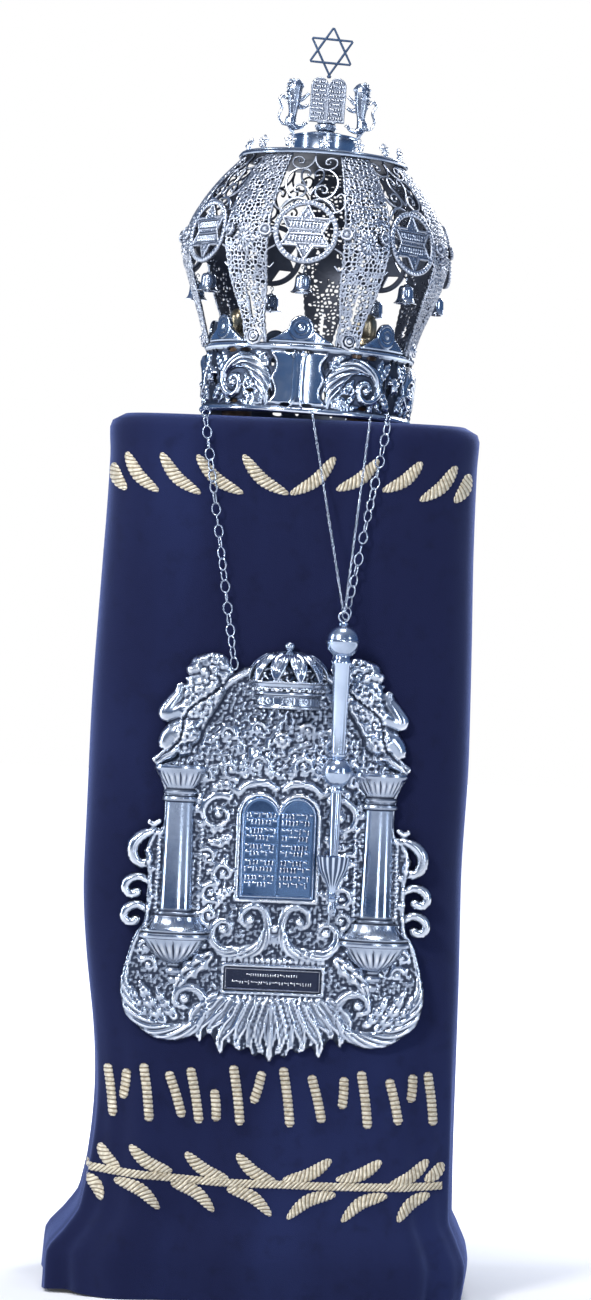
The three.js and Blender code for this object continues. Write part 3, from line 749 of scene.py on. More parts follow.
@dataclass(frozen=True)
class Metal:
    """A polished metal with painted shade in its recesses, painted highlights on its crests, and cloudy
    tarnish.
    """

    name: str
    colour: tuple[float, float, float]
    # The dark colour is used for the tarnish clouds and for the painted shade in recesses; the crest colour
    # is a painted highlight.
    tarnish_and_shade: tuple[float, float, float]
    crest: tuple[float, float, float]
    roughness: float
    wear: float = 0.12
    metallic: float = 1.0

    def made(self, group: bpy.types.NodeTree) -> bpy.types.Material:
        """Build the material, with the shared tarnish effect in it."""
        material, tree, shader, where = started(self.name)
        tarnish = tree.add("ShaderNodeGroup", node_tree=group)
        tree.link(where, tarnish.inputs["Vector"])
        relief = tree.add("ShaderNodeAttribute", attribute_name="relief", attribute_type="GEOMETRY")
        height = relief.outputs["Fac"]
        # Painted shade darkens what lies below its surroundings; a painted highlight lightens what stands
        # proud.
        painted_shade = tree.between(height, 0.02, -0.42)
        proud = tree.between(height, 0.05, 0.6)
        base = tree.mix(proud, self.colour, self.crest)
        cloudy = tree.mix(tree.math("MULTIPLY", tarnish.outputs["Cloud"], 0.28), base, self.tarnish_and_shade)
        tree.link(tree.mix(tree.math("MULTIPLY", painted_shade, 0.93), cloudy, self.tarnish_and_shade),
                  shader.inputs["Base Color"])
        rough = tree.math("ADD", tree.math("MULTIPLY", tarnish.outputs["Cloud"], 0.12), self.roughness)
        rough = tree.math("ADD", rough, tree.math("MULTIPLY", painted_shade, 0.25))
        tree.link(rough, shader.inputs["Roughness"])
        shader.inputs["Metallic"].default_value = self.metallic
        tree.link(tree.bump(tarnish.outputs["Wear"], self.wear, 0.0012), shader.inputs["Normal"])
        return material


@dataclass(frozen=True)
class Velvet:
    """A short dense pile, with lighter streaks painted in as the pile's sheen and darker random patches."""

    name: str
    colour: tuple[float, float, float]
    # light is the colour of the painted sheen streaks.
    light: tuple[float, float, float]
    sheen: tuple[float, float, float]

    def made(self, group: bpy.types.NodeTree) -> bpy.types.Material:
        """Build the material, with the shared thread effect as its ground weave."""
        material, tree, shader, where = started(self.name)
        # Painted sheen: lighter streaks stretched upright stand in for the sheen of the pile.
        painted_sheen = tree.between(tree.noise(where, 7.0, 4.0, (1.0, 1.0, 0.35)), 0.42, 0.72)
        pile = tree.noise(where, 900.0, 2.0)
        patchy = tree.noise(where, 60.0, 5.0)
        thread = tree.add("ShaderNodeGroup", node_tree=group)
        thread.inputs["Pitch"].default_value = 700.0
        tree.link(where, thread.inputs["Vector"])
        colour = tree.mix(tree.math("MULTIPLY", painted_sheen, 0.55), self.colour, self.light)
        dark = tuple(0.45 * c for c in self.colour)
        colour = tree.mix(tree.math("MULTIPLY", tree.between(patchy, 0.5, 0.75), 0.35), colour, dark)
        tree.link(colour, shader.inputs["Base Color"])
        shader.inputs["Roughness"].default_value = 0.92
        shader.inputs["Specular IOR Level"].default_value = 0.12
        shader.inputs["Sheen Weight"].default_value = 0.75
        shader.inputs["Sheen Roughness"].default_value = 0.42
        shader.inputs["Sheen Tint"].default_value = (*self.sheen, 1.0)
        nap = tree.math("ADD", pile, tree.math("MULTIPLY", thread.outputs["Thread"], 0.2))
        tree.link(tree.bump(nap, 0.35, 0.0006), shader.inputs["Normal"])
        return material


@dataclass(frozen=True)
class Thread:
    """Metal thread wound on silk and laid side by side."""

    name: str
    colour: tuple[float, float, float]
    # shade is the darker colour of uneven thread, also painted as shade between the bundles.
    shade: tuple[float, float, float]

    def made(self, group: bpy.types.NodeTree) -> bpy.types.Material:
        """Build the material, with the shared thread effect in it."""
        material, tree, shader, where = started(self.name)
        thread = tree.add("ShaderNodeGroup", node_tree=group)
        tree.link(where, thread.inputs["Vector"])
        relief = tree.add("ShaderNodeAttribute", attribute_name="relief", attribute_type="GEOMETRY")
        # Painted shade: the grooves between bundles and the back mix toward the shade colour.
        painted_shade = tree.between(relief.outputs["Fac"], 0.05, -0.35)
        uneven = tree.between(thread.outputs["Uneven"], 0.35, 0.7)
        colour = tree.mix(tree.math("MULTIPLY", uneven, 0.5), self.colour, self.shade)
        tree.link(tree.mix(tree.math("MULTIPLY", painted_shade, 0.8), colour, self.shade), shader.inputs["Base Color"])
        shader.inputs["Metallic"].default_value = 0.55
        shader.inputs["Roughness"].default_value = 0.42
        height = tree.math("ADD", thread.outputs["Thread"], tree.math("MULTIPLY", thread.outputs["Uneven"],
                                                                      0.8))
        tree.link(tree.bump(height, 0.5, 0.0005), shader.inputs["Normal"])
        return material


@dataclass(frozen=True)
class Wood:
    """Dark turned wood under old polish."""

    name: str
    colour: tuple[float, float, float]
    grain: tuple[float, float, float]

    def made(self) -> bpy.types.Material:
        """Build the material, with its grain along the turning's axis."""
        material, tree, shader, where = started(self.name)
        grain = tree.noise(where, 60.0, 6.0, (1.0, 1.0, 0.06))
        pores = tree.noise(where, 500.0, 2.0, (1.0, 1.0, 0.05))
        tree.link(tree.mix(tree.between(grain, 0.35, 0.65), self.colour, self.grain),
                  shader.inputs["Base Color"])
        tree.link(tree.math("ADD", tree.math("MULTIPLY", pores, 0.25), 0.28), shader.inputs["Roughness"])
        shader.inputs["Coat Weight"].default_value = 0.3
        tree.link(tree.bump(pores, 0.25, 0.0006), shader.inputs["Normal"])
        return material


@dataclass(frozen=True)
class Parchment:
    """Old skin, smooth and a little mottled, that shows its turns on the ends."""

    name: str
    colour: tuple[float, float, float]
    aged: tuple[float, float, float]

    def made(self) -> bpy.types.Material:
        """Build the material."""
        material, tree, shader, where = started(self.name)
        mottled = tree.noise(where, 22.0, 6.0)
        pores = tree.noise(where, 600.0, 3.0)
        tree.link(tree.mix(tree.between(mottled, 0.35, 0.7), self.colour, self.aged),
                  shader.inputs["Base Color"])
        tree.link(tree.math("ADD", tree.math("MULTIPLY", pores, 0.2), 0.55), shader.inputs["Roughness"])
        tree.link(tree.bump(pores, 0.2, 0.0005), shader.inputs["Normal"])
        return material


def started(name: str) -> tuple[bpy.types.Material, Tree, bpy.types.Node, bpy.types.NodeSocket]:
    """Start a material: the material, a Tree on it, its shader and the object coordinates."""
    material = bpy.data.materials.new(name)
    material.use_nodes = True
    tree = Tree(material.node_tree)
    shader = material.node_tree.nodes["Principled BSDF"]
    where = tree.add("ShaderNodeTexCoord").outputs["Object"]
    return material, tree, shader, where


class Finishes:
    """All the object's materials, each built once."""

    def __init__(self) -> None:
        """Build the shared effects and the materials that use them."""
        tarnish, thread = tarnish_group(), thread_group()
        # The silvers' bluish base colours are a painted reflection of the blue velvet and the cool
        # surroundings, and their pale crest colours are painted highlights.
        self.silver = Metal("silver", (0.44, 0.50, 0.60), (0.012, 0.018, 0.04), (0.88, 0.91, 0.95),
                            0.17).made(tarnish)
        self.filigree = Metal("filigree", (0.42, 0.46, 0.54), (0.012, 0.016, 0.035), (0.88, 0.90, 0.94),
                              0.27).made(tarnish)
        self.polished = Metal("polished_silver", (0.5, 0.58, 0.70), (0.012, 0.018, 0.04), (0.92, 0.94, 0.97),
                              0.12, 0.08).made(tarnish)
        self.mirror = Metal("mirror_silver", (0.55, 0.64, 0.78), (0.03, 0.05, 0.10), (0.92, 0.94, 0.97), 0.1,
                            0.05).made(tarnish)
        self.engraved = Metal("engraved_silver", (0.035, 0.042, 0.07), (0.012, 0.015, 0.03),
                              (0.85, 0.88, 0.92), 0.22).made(tarnish)
        # Dark blue painted on the star's silver bars as their shade and dark blue reflection.
        self.shaded_star_bars = Metal("dark_bars", (0.035, 0.07, 0.14), (0.02, 0.03, 0.06), (0.2, 0.26, 0.4), 0.5, 0.12,
                           0.35).made(tarnish)
        # Dark blue painted on the silver tablets as a reflection of the blue surroundings.
        self.blue_reflection_tablets = Metal("tablet_silver", (0.13, 0.22, 0.38), (0.02, 0.035, 0.08), (0.92, 0.94, 0.98), 0.15,
                           0.06).made(tarnish)
        self.brass = Metal("brass", (0.42, 0.36, 0.25), (0.12, 0.08, 0.04), (0.7, 0.62, 0.45),
                           0.26).made(tarnish)
        self.velvet = Velvet("velvet", (0.006, 0.0085, 0.036), (0.014, 0.022, 0.08),
                             (0.25, 0.33, 0.72)).made(thread)
        self.thread = Thread("metal_thread", (0.8, 0.73, 0.58), (0.2, 0.15, 0.08)).made(thread)
        self.wood = Wood("wood", (0.055, 0.028, 0.016), (0.11, 0.06, 0.03)).made()
        self.parchment = Parchment("parchment", (0.74, 0.64, 0.46), (0.55, 0.43, 0.27)).made()


def finish_piece(thing: bpy.types.Object, material: bpy.types.Material, slot: Slot, *nodes: str) -> None:
    """Dress a new piece, let it ride on the body, and hide the nodes that it stands for.

    Args:
        thing: the piece, in metres, with its place in its mesh.
        material: its material.
        slot: the record's slot for it; not used.
        *nodes: the nodes that it replaces.
    """
    thing.data.materials.clear()
    thing.data.materials.append(material)
    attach(thing, "root")
    if nodes:
        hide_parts(*nodes)
    thing.data.calc_loop_triangles()
    log.info("%s: %d triangles", thing.name, len(thing.data.loop_triangles))


# The rollers under the mantle


@dataclass
class Rollers:
    """Two turned rollers with their stave caps, and the parchment wound on them."""

    middle: float = 8.0
    apart: float = 120.0
    foot: float = 22.0
    handle: float = 18.0
    core: float = 15.0
    disc: float = 58.5
    low_disc: float = 144.0
    high_disc: float = 806.0
    disc_thick: float = 16.0
    staff_top: float = 905.0
    cap: float = 11.0
    cap_top: float = 937.0
    roll: float = 56.0

    def place(self, side: Side) -> Matrix:
        """Where a roller stands, in metres."""
        x = (self.middle + side.value * self.apart / 2 + SHIFT.x) * MM
        return Matrix.Translation((x, SHIFT.y * MM, 0)) @ Matrix.Scale(MM, 4)

    def roller(self) -> bpy.types.Object:
        """A roller, turned in one, in millimetres."""
        foot, handle, core, disc = self.foot, self.handle, self.core, self.disc
        low, high, thick = self.low_disc, self.high_disc, self.disc_thick
        lower = curved([(foot, 4), (foot, 14), (handle - 4, 22), (handle, 50), (handle + 2, 90),
                        (core - 1, 132),
                        (core + 6, low)])
        rounded = [(0.0, 0.0), (foot - 3, 0), (foot - 0.8, 1.2), *lower]
        for level in (low, high):
            rounded += [(disc - 3, level), (disc - 0.6, level + 1), (disc, level + 3),
                        (disc, level + thick - 3),
                        (disc - 0.6, level + thick - 1), (disc - 3, level + thick), (core, level + thick)]
        rounded += [(core - 4, self.staff_top), (0, self.staff_top)]
        return spun("roller", rounded, 40)

    def cap_piece(self) -> bpy.types.Object:
        """A cap on a stave's top, in millimetres."""
        r, low, top = self.cap, self.staff_top + 0.35, self.cap_top
        sides = [(0.0, low), (r - 1, low), (r, low + 1), (r, low + 4), (r - 1, low + 5.5), (r - 1, low + 8),
                 (r, low + 9.5),
                 (r, top - 10), (r * 0.96, top - 7), (r * 0.84, top - 3.5), (r * 0.55, top - 0.9), (0.0, top)]
        return spun("cap", sides, 32)

    def parchment_piece(self) -> bpy.types.Object:
        """Both wound ends, whose end faces show the turns, and the stretch between them, in metres."""
        low, high = self.low_disc + self.disc_thick + 0.35, self.high_disc - 0.35
        bore = self.core + 0.35
        turns = 9
        def ends(z: float, inward: float, radii: np.ndarray) -> list[Point2]:
            return [(r, z + (inward if k % 2 else 0)) for k, r in enumerate(radii)]
        radii = np.linspace(bore, self.roll, 2 * turns + 1)
        ring = [*ends(low, 0.8, radii), *ends(high, -0.8, radii[::-1]), (bore, low)]
        roll = spun("roll", ring, 36, 30.0)
        rolls = [copied(roll, "roll", Matrix.Translation((side.value * self.apart / 2, 0, 0)))
                 for side in Side]
        pick(roll)
        bpy.ops.object.delete()
        deselect()
        bpy.ops.mesh.primitive_cube_add(size=1, location=(0, self.roll - 1.9, (low + high) / 2),
                                        scale=(self.apart, 1.1, high - low))
        bpy.ops.object.transform_apply(location=True, rotation=True, scale=True)
        sheet = named("sheet")
        apply_modifier(sheet, "BEVEL", width=0.3, segments=2)
        both = joined("parchment_rolls", [*rolls, sheet])
        return moved(both, Matrix.Translation(((self.middle + SHIFT.x) * MM, SHIFT.y * MM,
                                               0)) @ Matrix.Scale(MM, 4))

    def build(self, finishes: Finishes) -> None:
        """Make the rollers, caps and parchment."""
        roller, cap = self.roller(), self.cap_piece()
        for side in Side:
            word = side.name.lower()
            finish_piece(copied(roller, f"turned_roller_{word}", self.place(side)), finishes.wood, Slot.WOOD,
                         f"roller_{word}")
            finish_piece(copied(cap, f"brass_cap_{word}", self.place(side)), finishes.brass, Slot.BRASS,
                         f"stave_cap_{word}")
        finish_piece(self.parchment_piece(), finishes.parchment, Slot.PARCHMENT, "parchment")
        pick(roller, cap)
        bpy.ops.object.delete()


# The mantle and its embroidery

# The mantle's rows of height, left edge, right edge and half depth, from the hem up
MANTLE_ROWS = np.array([
    (0, -203, 200, 118), (36, -202, 203, 119), (62, -183, 194, 113), (82, -171, 186, 107),
    (190, -159, 185, 102),
    (400, -178, 180, 103), (520, -177, 184, 103), (790, -169.5, 180, 103), (813, -171, 181, 104),
    (823, -168, 178, 101), (828, -158, 168, 91),
], dtype=float)


def eased(at: np.ndarray, knots: np.ndarray, values: np.ndarray) -> np.ndarray:
    """Values on a smooth curve through knots, with no overshoot."""
    steps = np.diff(knots)
    slopes = np.diff(values) / steps
    inner = np.where(slopes[:-1] * slopes[1:] > 0,
                     2 * slopes[:-1] * slopes[1:] / np.where(slopes[:-1] + slopes[1:] == 0, 1,
                                                             slopes[:-1] + slopes[1:]), 0)
    tangents = np.concatenate([[slopes[0]], inner, [slopes[-1]]])
    k = np.clip(np.searchsorted(knots, at, side="right") - 1, 0, len(steps) - 1)
    t = (at - knots[k]) / steps[k]
    return ((2 * t ** 3 - 3 * t ** 2 + 1) * values[k] + (t ** 3 - 2 * t ** 2 + t) * steps[k] * tangents[k]
            + (3 * t ** 2 - 2 * t ** 3) * values[k + 1] + (t ** 3 - t ** 2) * steps[k] * tangents[k + 1])


@dataclass
class Mantle:
    """The velvet cover: sides that fall in soft folds from a stiff top, with a piped seam, open below."""

    around: int = 232
    rows: int = 150
    seam: float = 818.0
    top: float = 828.0
    corner: float = 5.5
    wall: float = 2.6
    hole: float = 16.5
    skin: BVHTree | None = None

    def ring(self, z: np.ndarray, turn: np.ndarray) -> np.ndarray:
        """The outside of the cloth at these heights and turns, in millimetres from the frame's origin."""
        left, right, deep = (eased(z, MANTLE_ROWS[:, 0], MANTLE_ROWS[:, k]) for k in (1, 2, 3))
        c, s = np.cos(turn), np.sin(turn)
        folds = self.folds(z, turn)
        across = (right - left) / 2 + folds
        x = (left + right) / 2 + across * np.sign(c) * np.abs(c) ** (2 / self.corner)
        y = (deep + folds) * np.sign(s) * np.abs(s) ** (2 / self.corner)
        return np.stack([x + SHIFT.x, y + SHIFT.y, z + self.hem(z, turn)], axis=-1)

    @staticmethod
    def folds(z: np.ndarray, turn: np.ndarray) -> np.ndarray:
        """How far the cloth stands out or falls in: deep near the hem, faint above."""
        low = np.clip(1 - z / 320, 0, 1) ** 1.3
        hanging = 3.4 * low * np.sin(9 * turn) + 1.6 * low * np.sin(17 * turn + 0.8 + z / 60)
        wander = 1.0 * np.sin(3 * turn + z / 150) * np.clip(1 - (z - 700) / 120, 0, 1)
        drag = 1.3 * np.sin(5 * turn - z / 75 + 1.0) * np.clip(1 - np.abs(z - 300) / 330, 0, 1)
        return hanging + wander + drag

    @staticmethod
    def hem(z: np.ndarray, turn: np.ndarray) -> np.ndarray:
        """How far the hem is lifted off the floor."""
        return np.clip(1 - z / 40, 0, 1) * 2.0 * (1 + np.sin(5 * turn + 1))

    def build(self, finishes: Finishes) -> None:
        """Make the cloth, its piping and its top."""
        deselect()
        bpy.ops.mesh.primitive_grid_add(x_subdivisions=self.around, y_subdivisions=self.rows, size=1)
        cloth = named("velvet_mantle")
        flat = places(cloth)
        turn = (flat[:, 0] + 0.5) * 2 * math.pi
        share = flat[:, 1] + 0.5
        side_part = 0.86
        z = np.where(share < side_part, self.top * share / side_part, self.top)
        inward = np.clip((share - side_part) / (1 - side_part), 0, 1)
        out = self.ring(z, turn)
        piped = 1.5 * np.exp(-(((z - self.seam)
                                / 2.6) ** 2)) - 1.0 * np.exp(-(((z - self.seam + 5.5) / 2.2) ** 2))
        middle = np.array([5 + SHIFT.x, SHIFT.y, 0])
        reach = np.linalg.norm((out - middle)[:, :2], axis=1)[:, None]
        out[:, :2] += (out - middle)[:, :2] / reach * piped[:, None]
        out[:, :2] = middle[:2] + (out[:, :2] - middle[:2]) * (1 - 0.97 * inward[:, None])
        out[:, 2] -= 0.6 * np.sin(np.pi * inward) * (1 - inward)
        put(cloth, out)
        outward(cloth, merge=0.6)
        self.close_top(cloth)
        apply_modifier(cloth, "SOLIDIFY", thickness=self.wall, offset=-1.0)
        self.cut_holes(cloth)
        moved(cloth, Matrix.Scale(MM, 4))
        smooth(cloth, 70.0)
        self.skin = BVHTree.FromObject(cloth, bpy.context.evaluated_depsgraph_get())
        finish_piece(cloth, finishes.velvet, Slot.VELVET, "mantle")

    @staticmethod
    def close_top(cloth: bpy.types.Object) -> None:
        """Fill the small opening left in the middle of the top."""
        pick(cloth)
        bpy.ops.object.mode_set(mode="EDIT")
        bpy.ops.mesh.select_mode(type="EDGE")
        bpy.ops.mesh.select_all(action="DESELECT")
        bpy.ops.object.mode_set(mode="OBJECT")
        high = places(cloth)[:, 2] > 820
        counts: dict[tuple[int, int], int] = {}
        for face in cloth.data.polygons:
            for key in face.edge_keys:
                counts[key] = counts.get(key, 0) + 1
        for edge in cloth.data.edges:
            edge.select = counts[edge.key] == 1 and high[edge.vertices[0]]
        bpy.ops.object.mode_set(mode="EDIT")
        bpy.ops.mesh.edge_face_add()
        bpy.ops.mesh.select_all(action="SELECT")
        bpy.ops.mesh.normals_make_consistent(inside=False)
        deselect()

    def cut_holes(self, cloth: bpy.types.Object) -> None:
        """Cut the two holes that the staves come through."""
        rollers = Rollers()
        for side in Side:
            deselect()
            x = rollers.middle + side.value * rollers.apart / 2 + SHIFT.x
            bpy.ops.mesh.primitive_cylinder_add(vertices=32, radius=self.hole, depth=40,
                                                location=(x, SHIFT.y, self.top), end_fill_type="TRIFAN")
            bpy.ops.object.transform_apply(location=True, rotation=True, scale=True)
            drill = bpy.context.object
            apply_modifier(cloth, "BOOLEAN", object=drill, operation="DIFFERENCE", solver="EXACT")
            pick(drill)
            bpy.ops.object.delete()

    def front(self, x: float, z: float) -> float:
        """The front of the cloth at this place, as its Y in millimetres."""
        hit, _, _, _ = self.skin.ray_cast(Vector((x * MM, -1.0, z * MM)), Vector((0, 1, 0)))
        return hit.y / MM if hit else -90.0


def seen(x: float, y: float, depth: float) -> Point2:
    """Where something at a pixel of the 591x1300 picture is.

    Args:
        x: the pixel across.
        y: the pixel down.
        depth: how far in front of the mantle's middle it is, negative towards the viewer, in millimetres.

    Returns:
        Its x and z in millimetres from the frame's origin.
    """
    lean = math.radians(2.5)
    dx, dy = x - 295.5, y - 650
    across = (dx * math.cos(lean) + dy * math.sin(lean)) * 0.96
    up = -(dy * math.cos(lean) - dx * math.sin(lean)) * 0.96
    nearer = (3750 + depth) / 3750
    return 14.7 + across * nearer, 611 + up * nearer


class Laid(Enum):
    """How a worked shape is filled with thread."""

    LEAF = "leaf"
    BAR = "bar"
    STEM = "stem"


@dataclass
class Embroidery:
    """Leaves, a stem and a row of strokes in padded metal thread on the front of the mantle."""

    mantle: Mantle
    depth: float = -103.0
    leaf_width: float = 5.6
    proud: float = 2.3
    ridge: float = 4.2

    def worked(self, name: str, path: Sequence[Point2], width: float, kind: Laid) -> bpy.types.Object:
        """One worked shape, as a padded strip with a ridge for each bundle of thread.

        Args:
            name: the object's name.
            path: its midline in x and z, in millimetres from the frame's origin.
            width: half its width.
            kind: how it is filled.

        Returns:
            The shape, in metres, lying on the velvet.
        """
        line = np.array(through(path, 8))
        lengths = np.concatenate([[0], np.cumsum(np.linalg.norm(np.diff(line, axis=0), axis=1))])
        total = lengths[-1]
        across, along = 10, max(8, int(total / 0.75))
        deselect()
        bpy.ops.mesh.primitive_grid_add(x_subdivisions=along, y_subdivisions=across, size=1)
        thing = named(name)
        apply_modifier(thing, "SOLIDIFY", thickness=0.01, offset=-1.0)
        flat = places(thing)
        t, s = flat[:, 0] + 0.5, flat[:, 1] * 2
        front = flat[:, 2] > -0.005
        at = t * total
        slope = 0.55 if kind is Laid.LEAF else 0.9 if kind is Laid.STEM else 0.12
        phase = at / self.ridge - slope * s * width / self.ridge
        bundle = np.abs(np.sin(np.pi * phase)) ** 0.7
        if kind is Laid.LEAF:
            half = width * np.sin(np.pi * np.clip(t, 0, 1) ** 0.9) ** 0.5 + 0.4
        elif kind is Laid.BAR:
            half = width * np.clip(np.minimum(t, 1 - t) * total / 3.0, 0.2, 1) ** 0.4
        else:
            half = np.full_like(t, width)
        half = half * (0.82 + 0.22 * bundle)
        x = np.interp(at, lengths, line[:, 0])
        z = np.interp(at, lengths, line[:, 1])
        dx, dz = np.gradient(line[:, 0], lengths), np.gradient(line[:, 1], lengths)
        tx, tz = np.interp(at, lengths, dx), np.interp(at, lengths, dz)
        size = np.hypot(tx, tz)
        tx, tz = tx / size, tz / size
        x, z = x - tz * s * half, z + tx * s * half
        pad = np.sqrt(np.clip(1 - s * s, 0, 1))
        high = self.proud * pad * (0.3 + 0.7 * bundle) * np.clip(half / width, 0, 1)
        base = np.array([self.mantle.front(a, b) for a, b in zip(x, z)])
        y = base - np.where(front, 0.15 + high, -0.6)
        put(thing, np.stack([x, y, z], axis=-1) * MM)
        outward(thing)
        # The relief paints highlights on the bundles, shade between them and shade on the back.
        mark(thing, "relief", np.where(front, (bundle - 0.7) * 1.4, -0.5))
        smooth(thing, 80.0)
        return thing

    def at(self, x: float, y: float) -> Point2:
        """A place on the mantle's front from a pixel of the picture."""
        return seen(x, y, self.depth)

    def leaf(self, name: str, start: Point2, end: Point2, bow: float = 0.12) -> bpy.types.Object:
        """A leaf between two pixels of the picture, bowed to one side."""
        (ax, az), (bx, bz) = self.at(*start), self.at(*end)
        middle = ((ax + bx) / 2 - (bz - az) * bow, (az + bz) / 2 + (bx - ax) * bow)
        return self.worked(name, [(ax, az), middle, (bx, bz)], self.leaf_width, Laid.LEAF)


# The row under the mantle's top: each leaf's outer end and inner end, in pixels of the picture
TOP_LEAVES = [
    ((110.9, 460.6), (125.4, 488.5)), ((125.4, 450.9), (158.2, 490.9)), ((160.6, 452.1), (200.6, 493.3)),
    ((196.9, 454.5), (243.0, 493.3)), ((243.0, 454.5), (288.5, 494.0)), ((335.1, 457.0), (290.0, 494.0)),
    ((378.7, 459.4), (336.3, 489.7)), ((422.3, 461.8), (382.4, 490.9)), ((457.5, 465.4), (420.0, 500.6)),
    ((470.8, 472.7), (455.1, 501.8)),
]
# The vine's leaves above and below its stem, outer end and end at the stem, in pixels of the picture
VINE_UPPER = [
    ((97.5, 1146.2), (119.0, 1169.2)), ((129.0, 1146.2), (172.1, 1172.0)), ((185.0, 1153.4), (228.1, 1179.2)),
    ((236.7, 1154.8), (276.8, 1183.5)), ((331.4, 1160.6), (282.6, 1180.7)),
    ((381.6, 1162.0), (335.7, 1180.7)),
    ((429.0, 1162.0), (388.8, 1186.4)), ((444.0, 1166.0), (425.0, 1183.0)),
]
VINE_LOWER = [
    ((84.5, 1177.8), (100.3, 1202.2)), ((113.2, 1180.7), (159.2, 1209.3)), ((170.6, 1183.5), (213.7, 1212.2)),
    ((226.6, 1189.3), (271.1, 1216.5)), ((335.7, 1195.0), (286.9, 1219.4)),
    ((387.3, 1196.4), (341.4, 1222.3)),
    ((430.4, 1196.4), (397.4, 1222.3)),
]
# The strokes between the breastplate and the vine: top and bottom of each, in pixels of the picture
STROKES = [
    ((106, 1066), (112, 1118)), ((126, 1070), (122, 1100)), ((143, 1064), (149, 1122)),
    ((168, 1072), (182, 1118)),
    ((190, 1068), (199, 1124)), ((214, 1090), (216, 1122)), ((233, 1066), (240, 1126)),
    ((262, 1072), (253, 1104)),
    ((283, 1068), (290, 1128)), ((311, 1076), (322, 1124)), ((344, 1078), (342, 1110)),
    ((361, 1072), (368, 1130)),
    ((389, 1080), (399, 1126)), ((413, 1076), (411, 1104)), ((428, 1074), (434, 1128)),
]


def build_embroidery(mantle: Mantle, finishes: Finishes) -> None:
    """Work the three rows of embroidery and lay them on the mantle."""
    work = Embroidery(mantle)
    rows = {"embroidered_leaf_row": [work.leaf("leaf", a, b, -0.1 if a[0] < 290 else 0.1) for a,
                                     b in TOP_LEAVES]}
    vine = [work.leaf("leaf", a, b, -0.1 if a[0] < 280 else 0.1) for a, b in VINE_UPPER]
    vine += [work.leaf("leaf", a, b, 0.12 if a[0] < 280 else -0.12) for a, b in VINE_LOWER]
    stem = [work.at(x, y) for x, y in ((83, 1169), (150, 1176), (220, 1183), (280, 1185.5), (350, 1188),
                                       (443, 1189))]
    vine.append(work.worked("stem", stem, 3.8, Laid.STEM))
    rows["embroidered_vine"] = vine
    rows["embroidered_strokes"] = [
        work.worked("stroke", [work.at(*a), work.at((a[0] + b[0]) / 2 + 0.8, (a[1] + b[1]) / 2), work.at(*b)],
                    4.4, Laid.BAR)
        for a, b in STROKES]
    for name, things in rows.items():
        finish_piece(joined(name, things), finishes.thread, Slot.EMBROIDERY)


# The chains and the pointer

# Each path's corners, in millimetres from the middle of the mantle's top
CHAIN_PATHS = {
    Side.LEFT: [(-80, -52, 833.5), (-79, -97, 833.5), (-78.5, -108.5, 822), (-42, -112, 596)],
    Side.RIGHT: [(91, -73, 833.5), (91.5, -97, 833.5), (91, -108.5, 822), (52, -112, 596)],
}
POINTER_STRANDS = [
    [(20.5, -105, 833), (57.4, -135, 648)],
    [(76, -87, 833), (75, -104.6, 831), (58.6, -135, 648)],
]


def along_path(path: Sequence[Sequence[float]], pitch: float) -> list[tuple[Vector, Vector]]:
    """Evenly spaced places on a path of corners, each with its direction."""
    corners = [Vector(p) for p in path]
    lengths = [0.0]
    for a, b in zip(corners, corners[1:]):
        lengths.append(lengths[-1] + (b - a).length)
    count = round(lengths[-1] / pitch)
    found = []
    for k in range(count + 1):
        at = lengths[-1] * k / count
        i = min(len(corners) - 2, max(j for j in range(len(corners)) if lengths[j] <= at + 1e-6))
        a, b = corners[i], corners[i + 1]
        found.append((a.lerp(b, (at - lengths[i]) / (b - a).length), (b - a).normalized()))
    return found


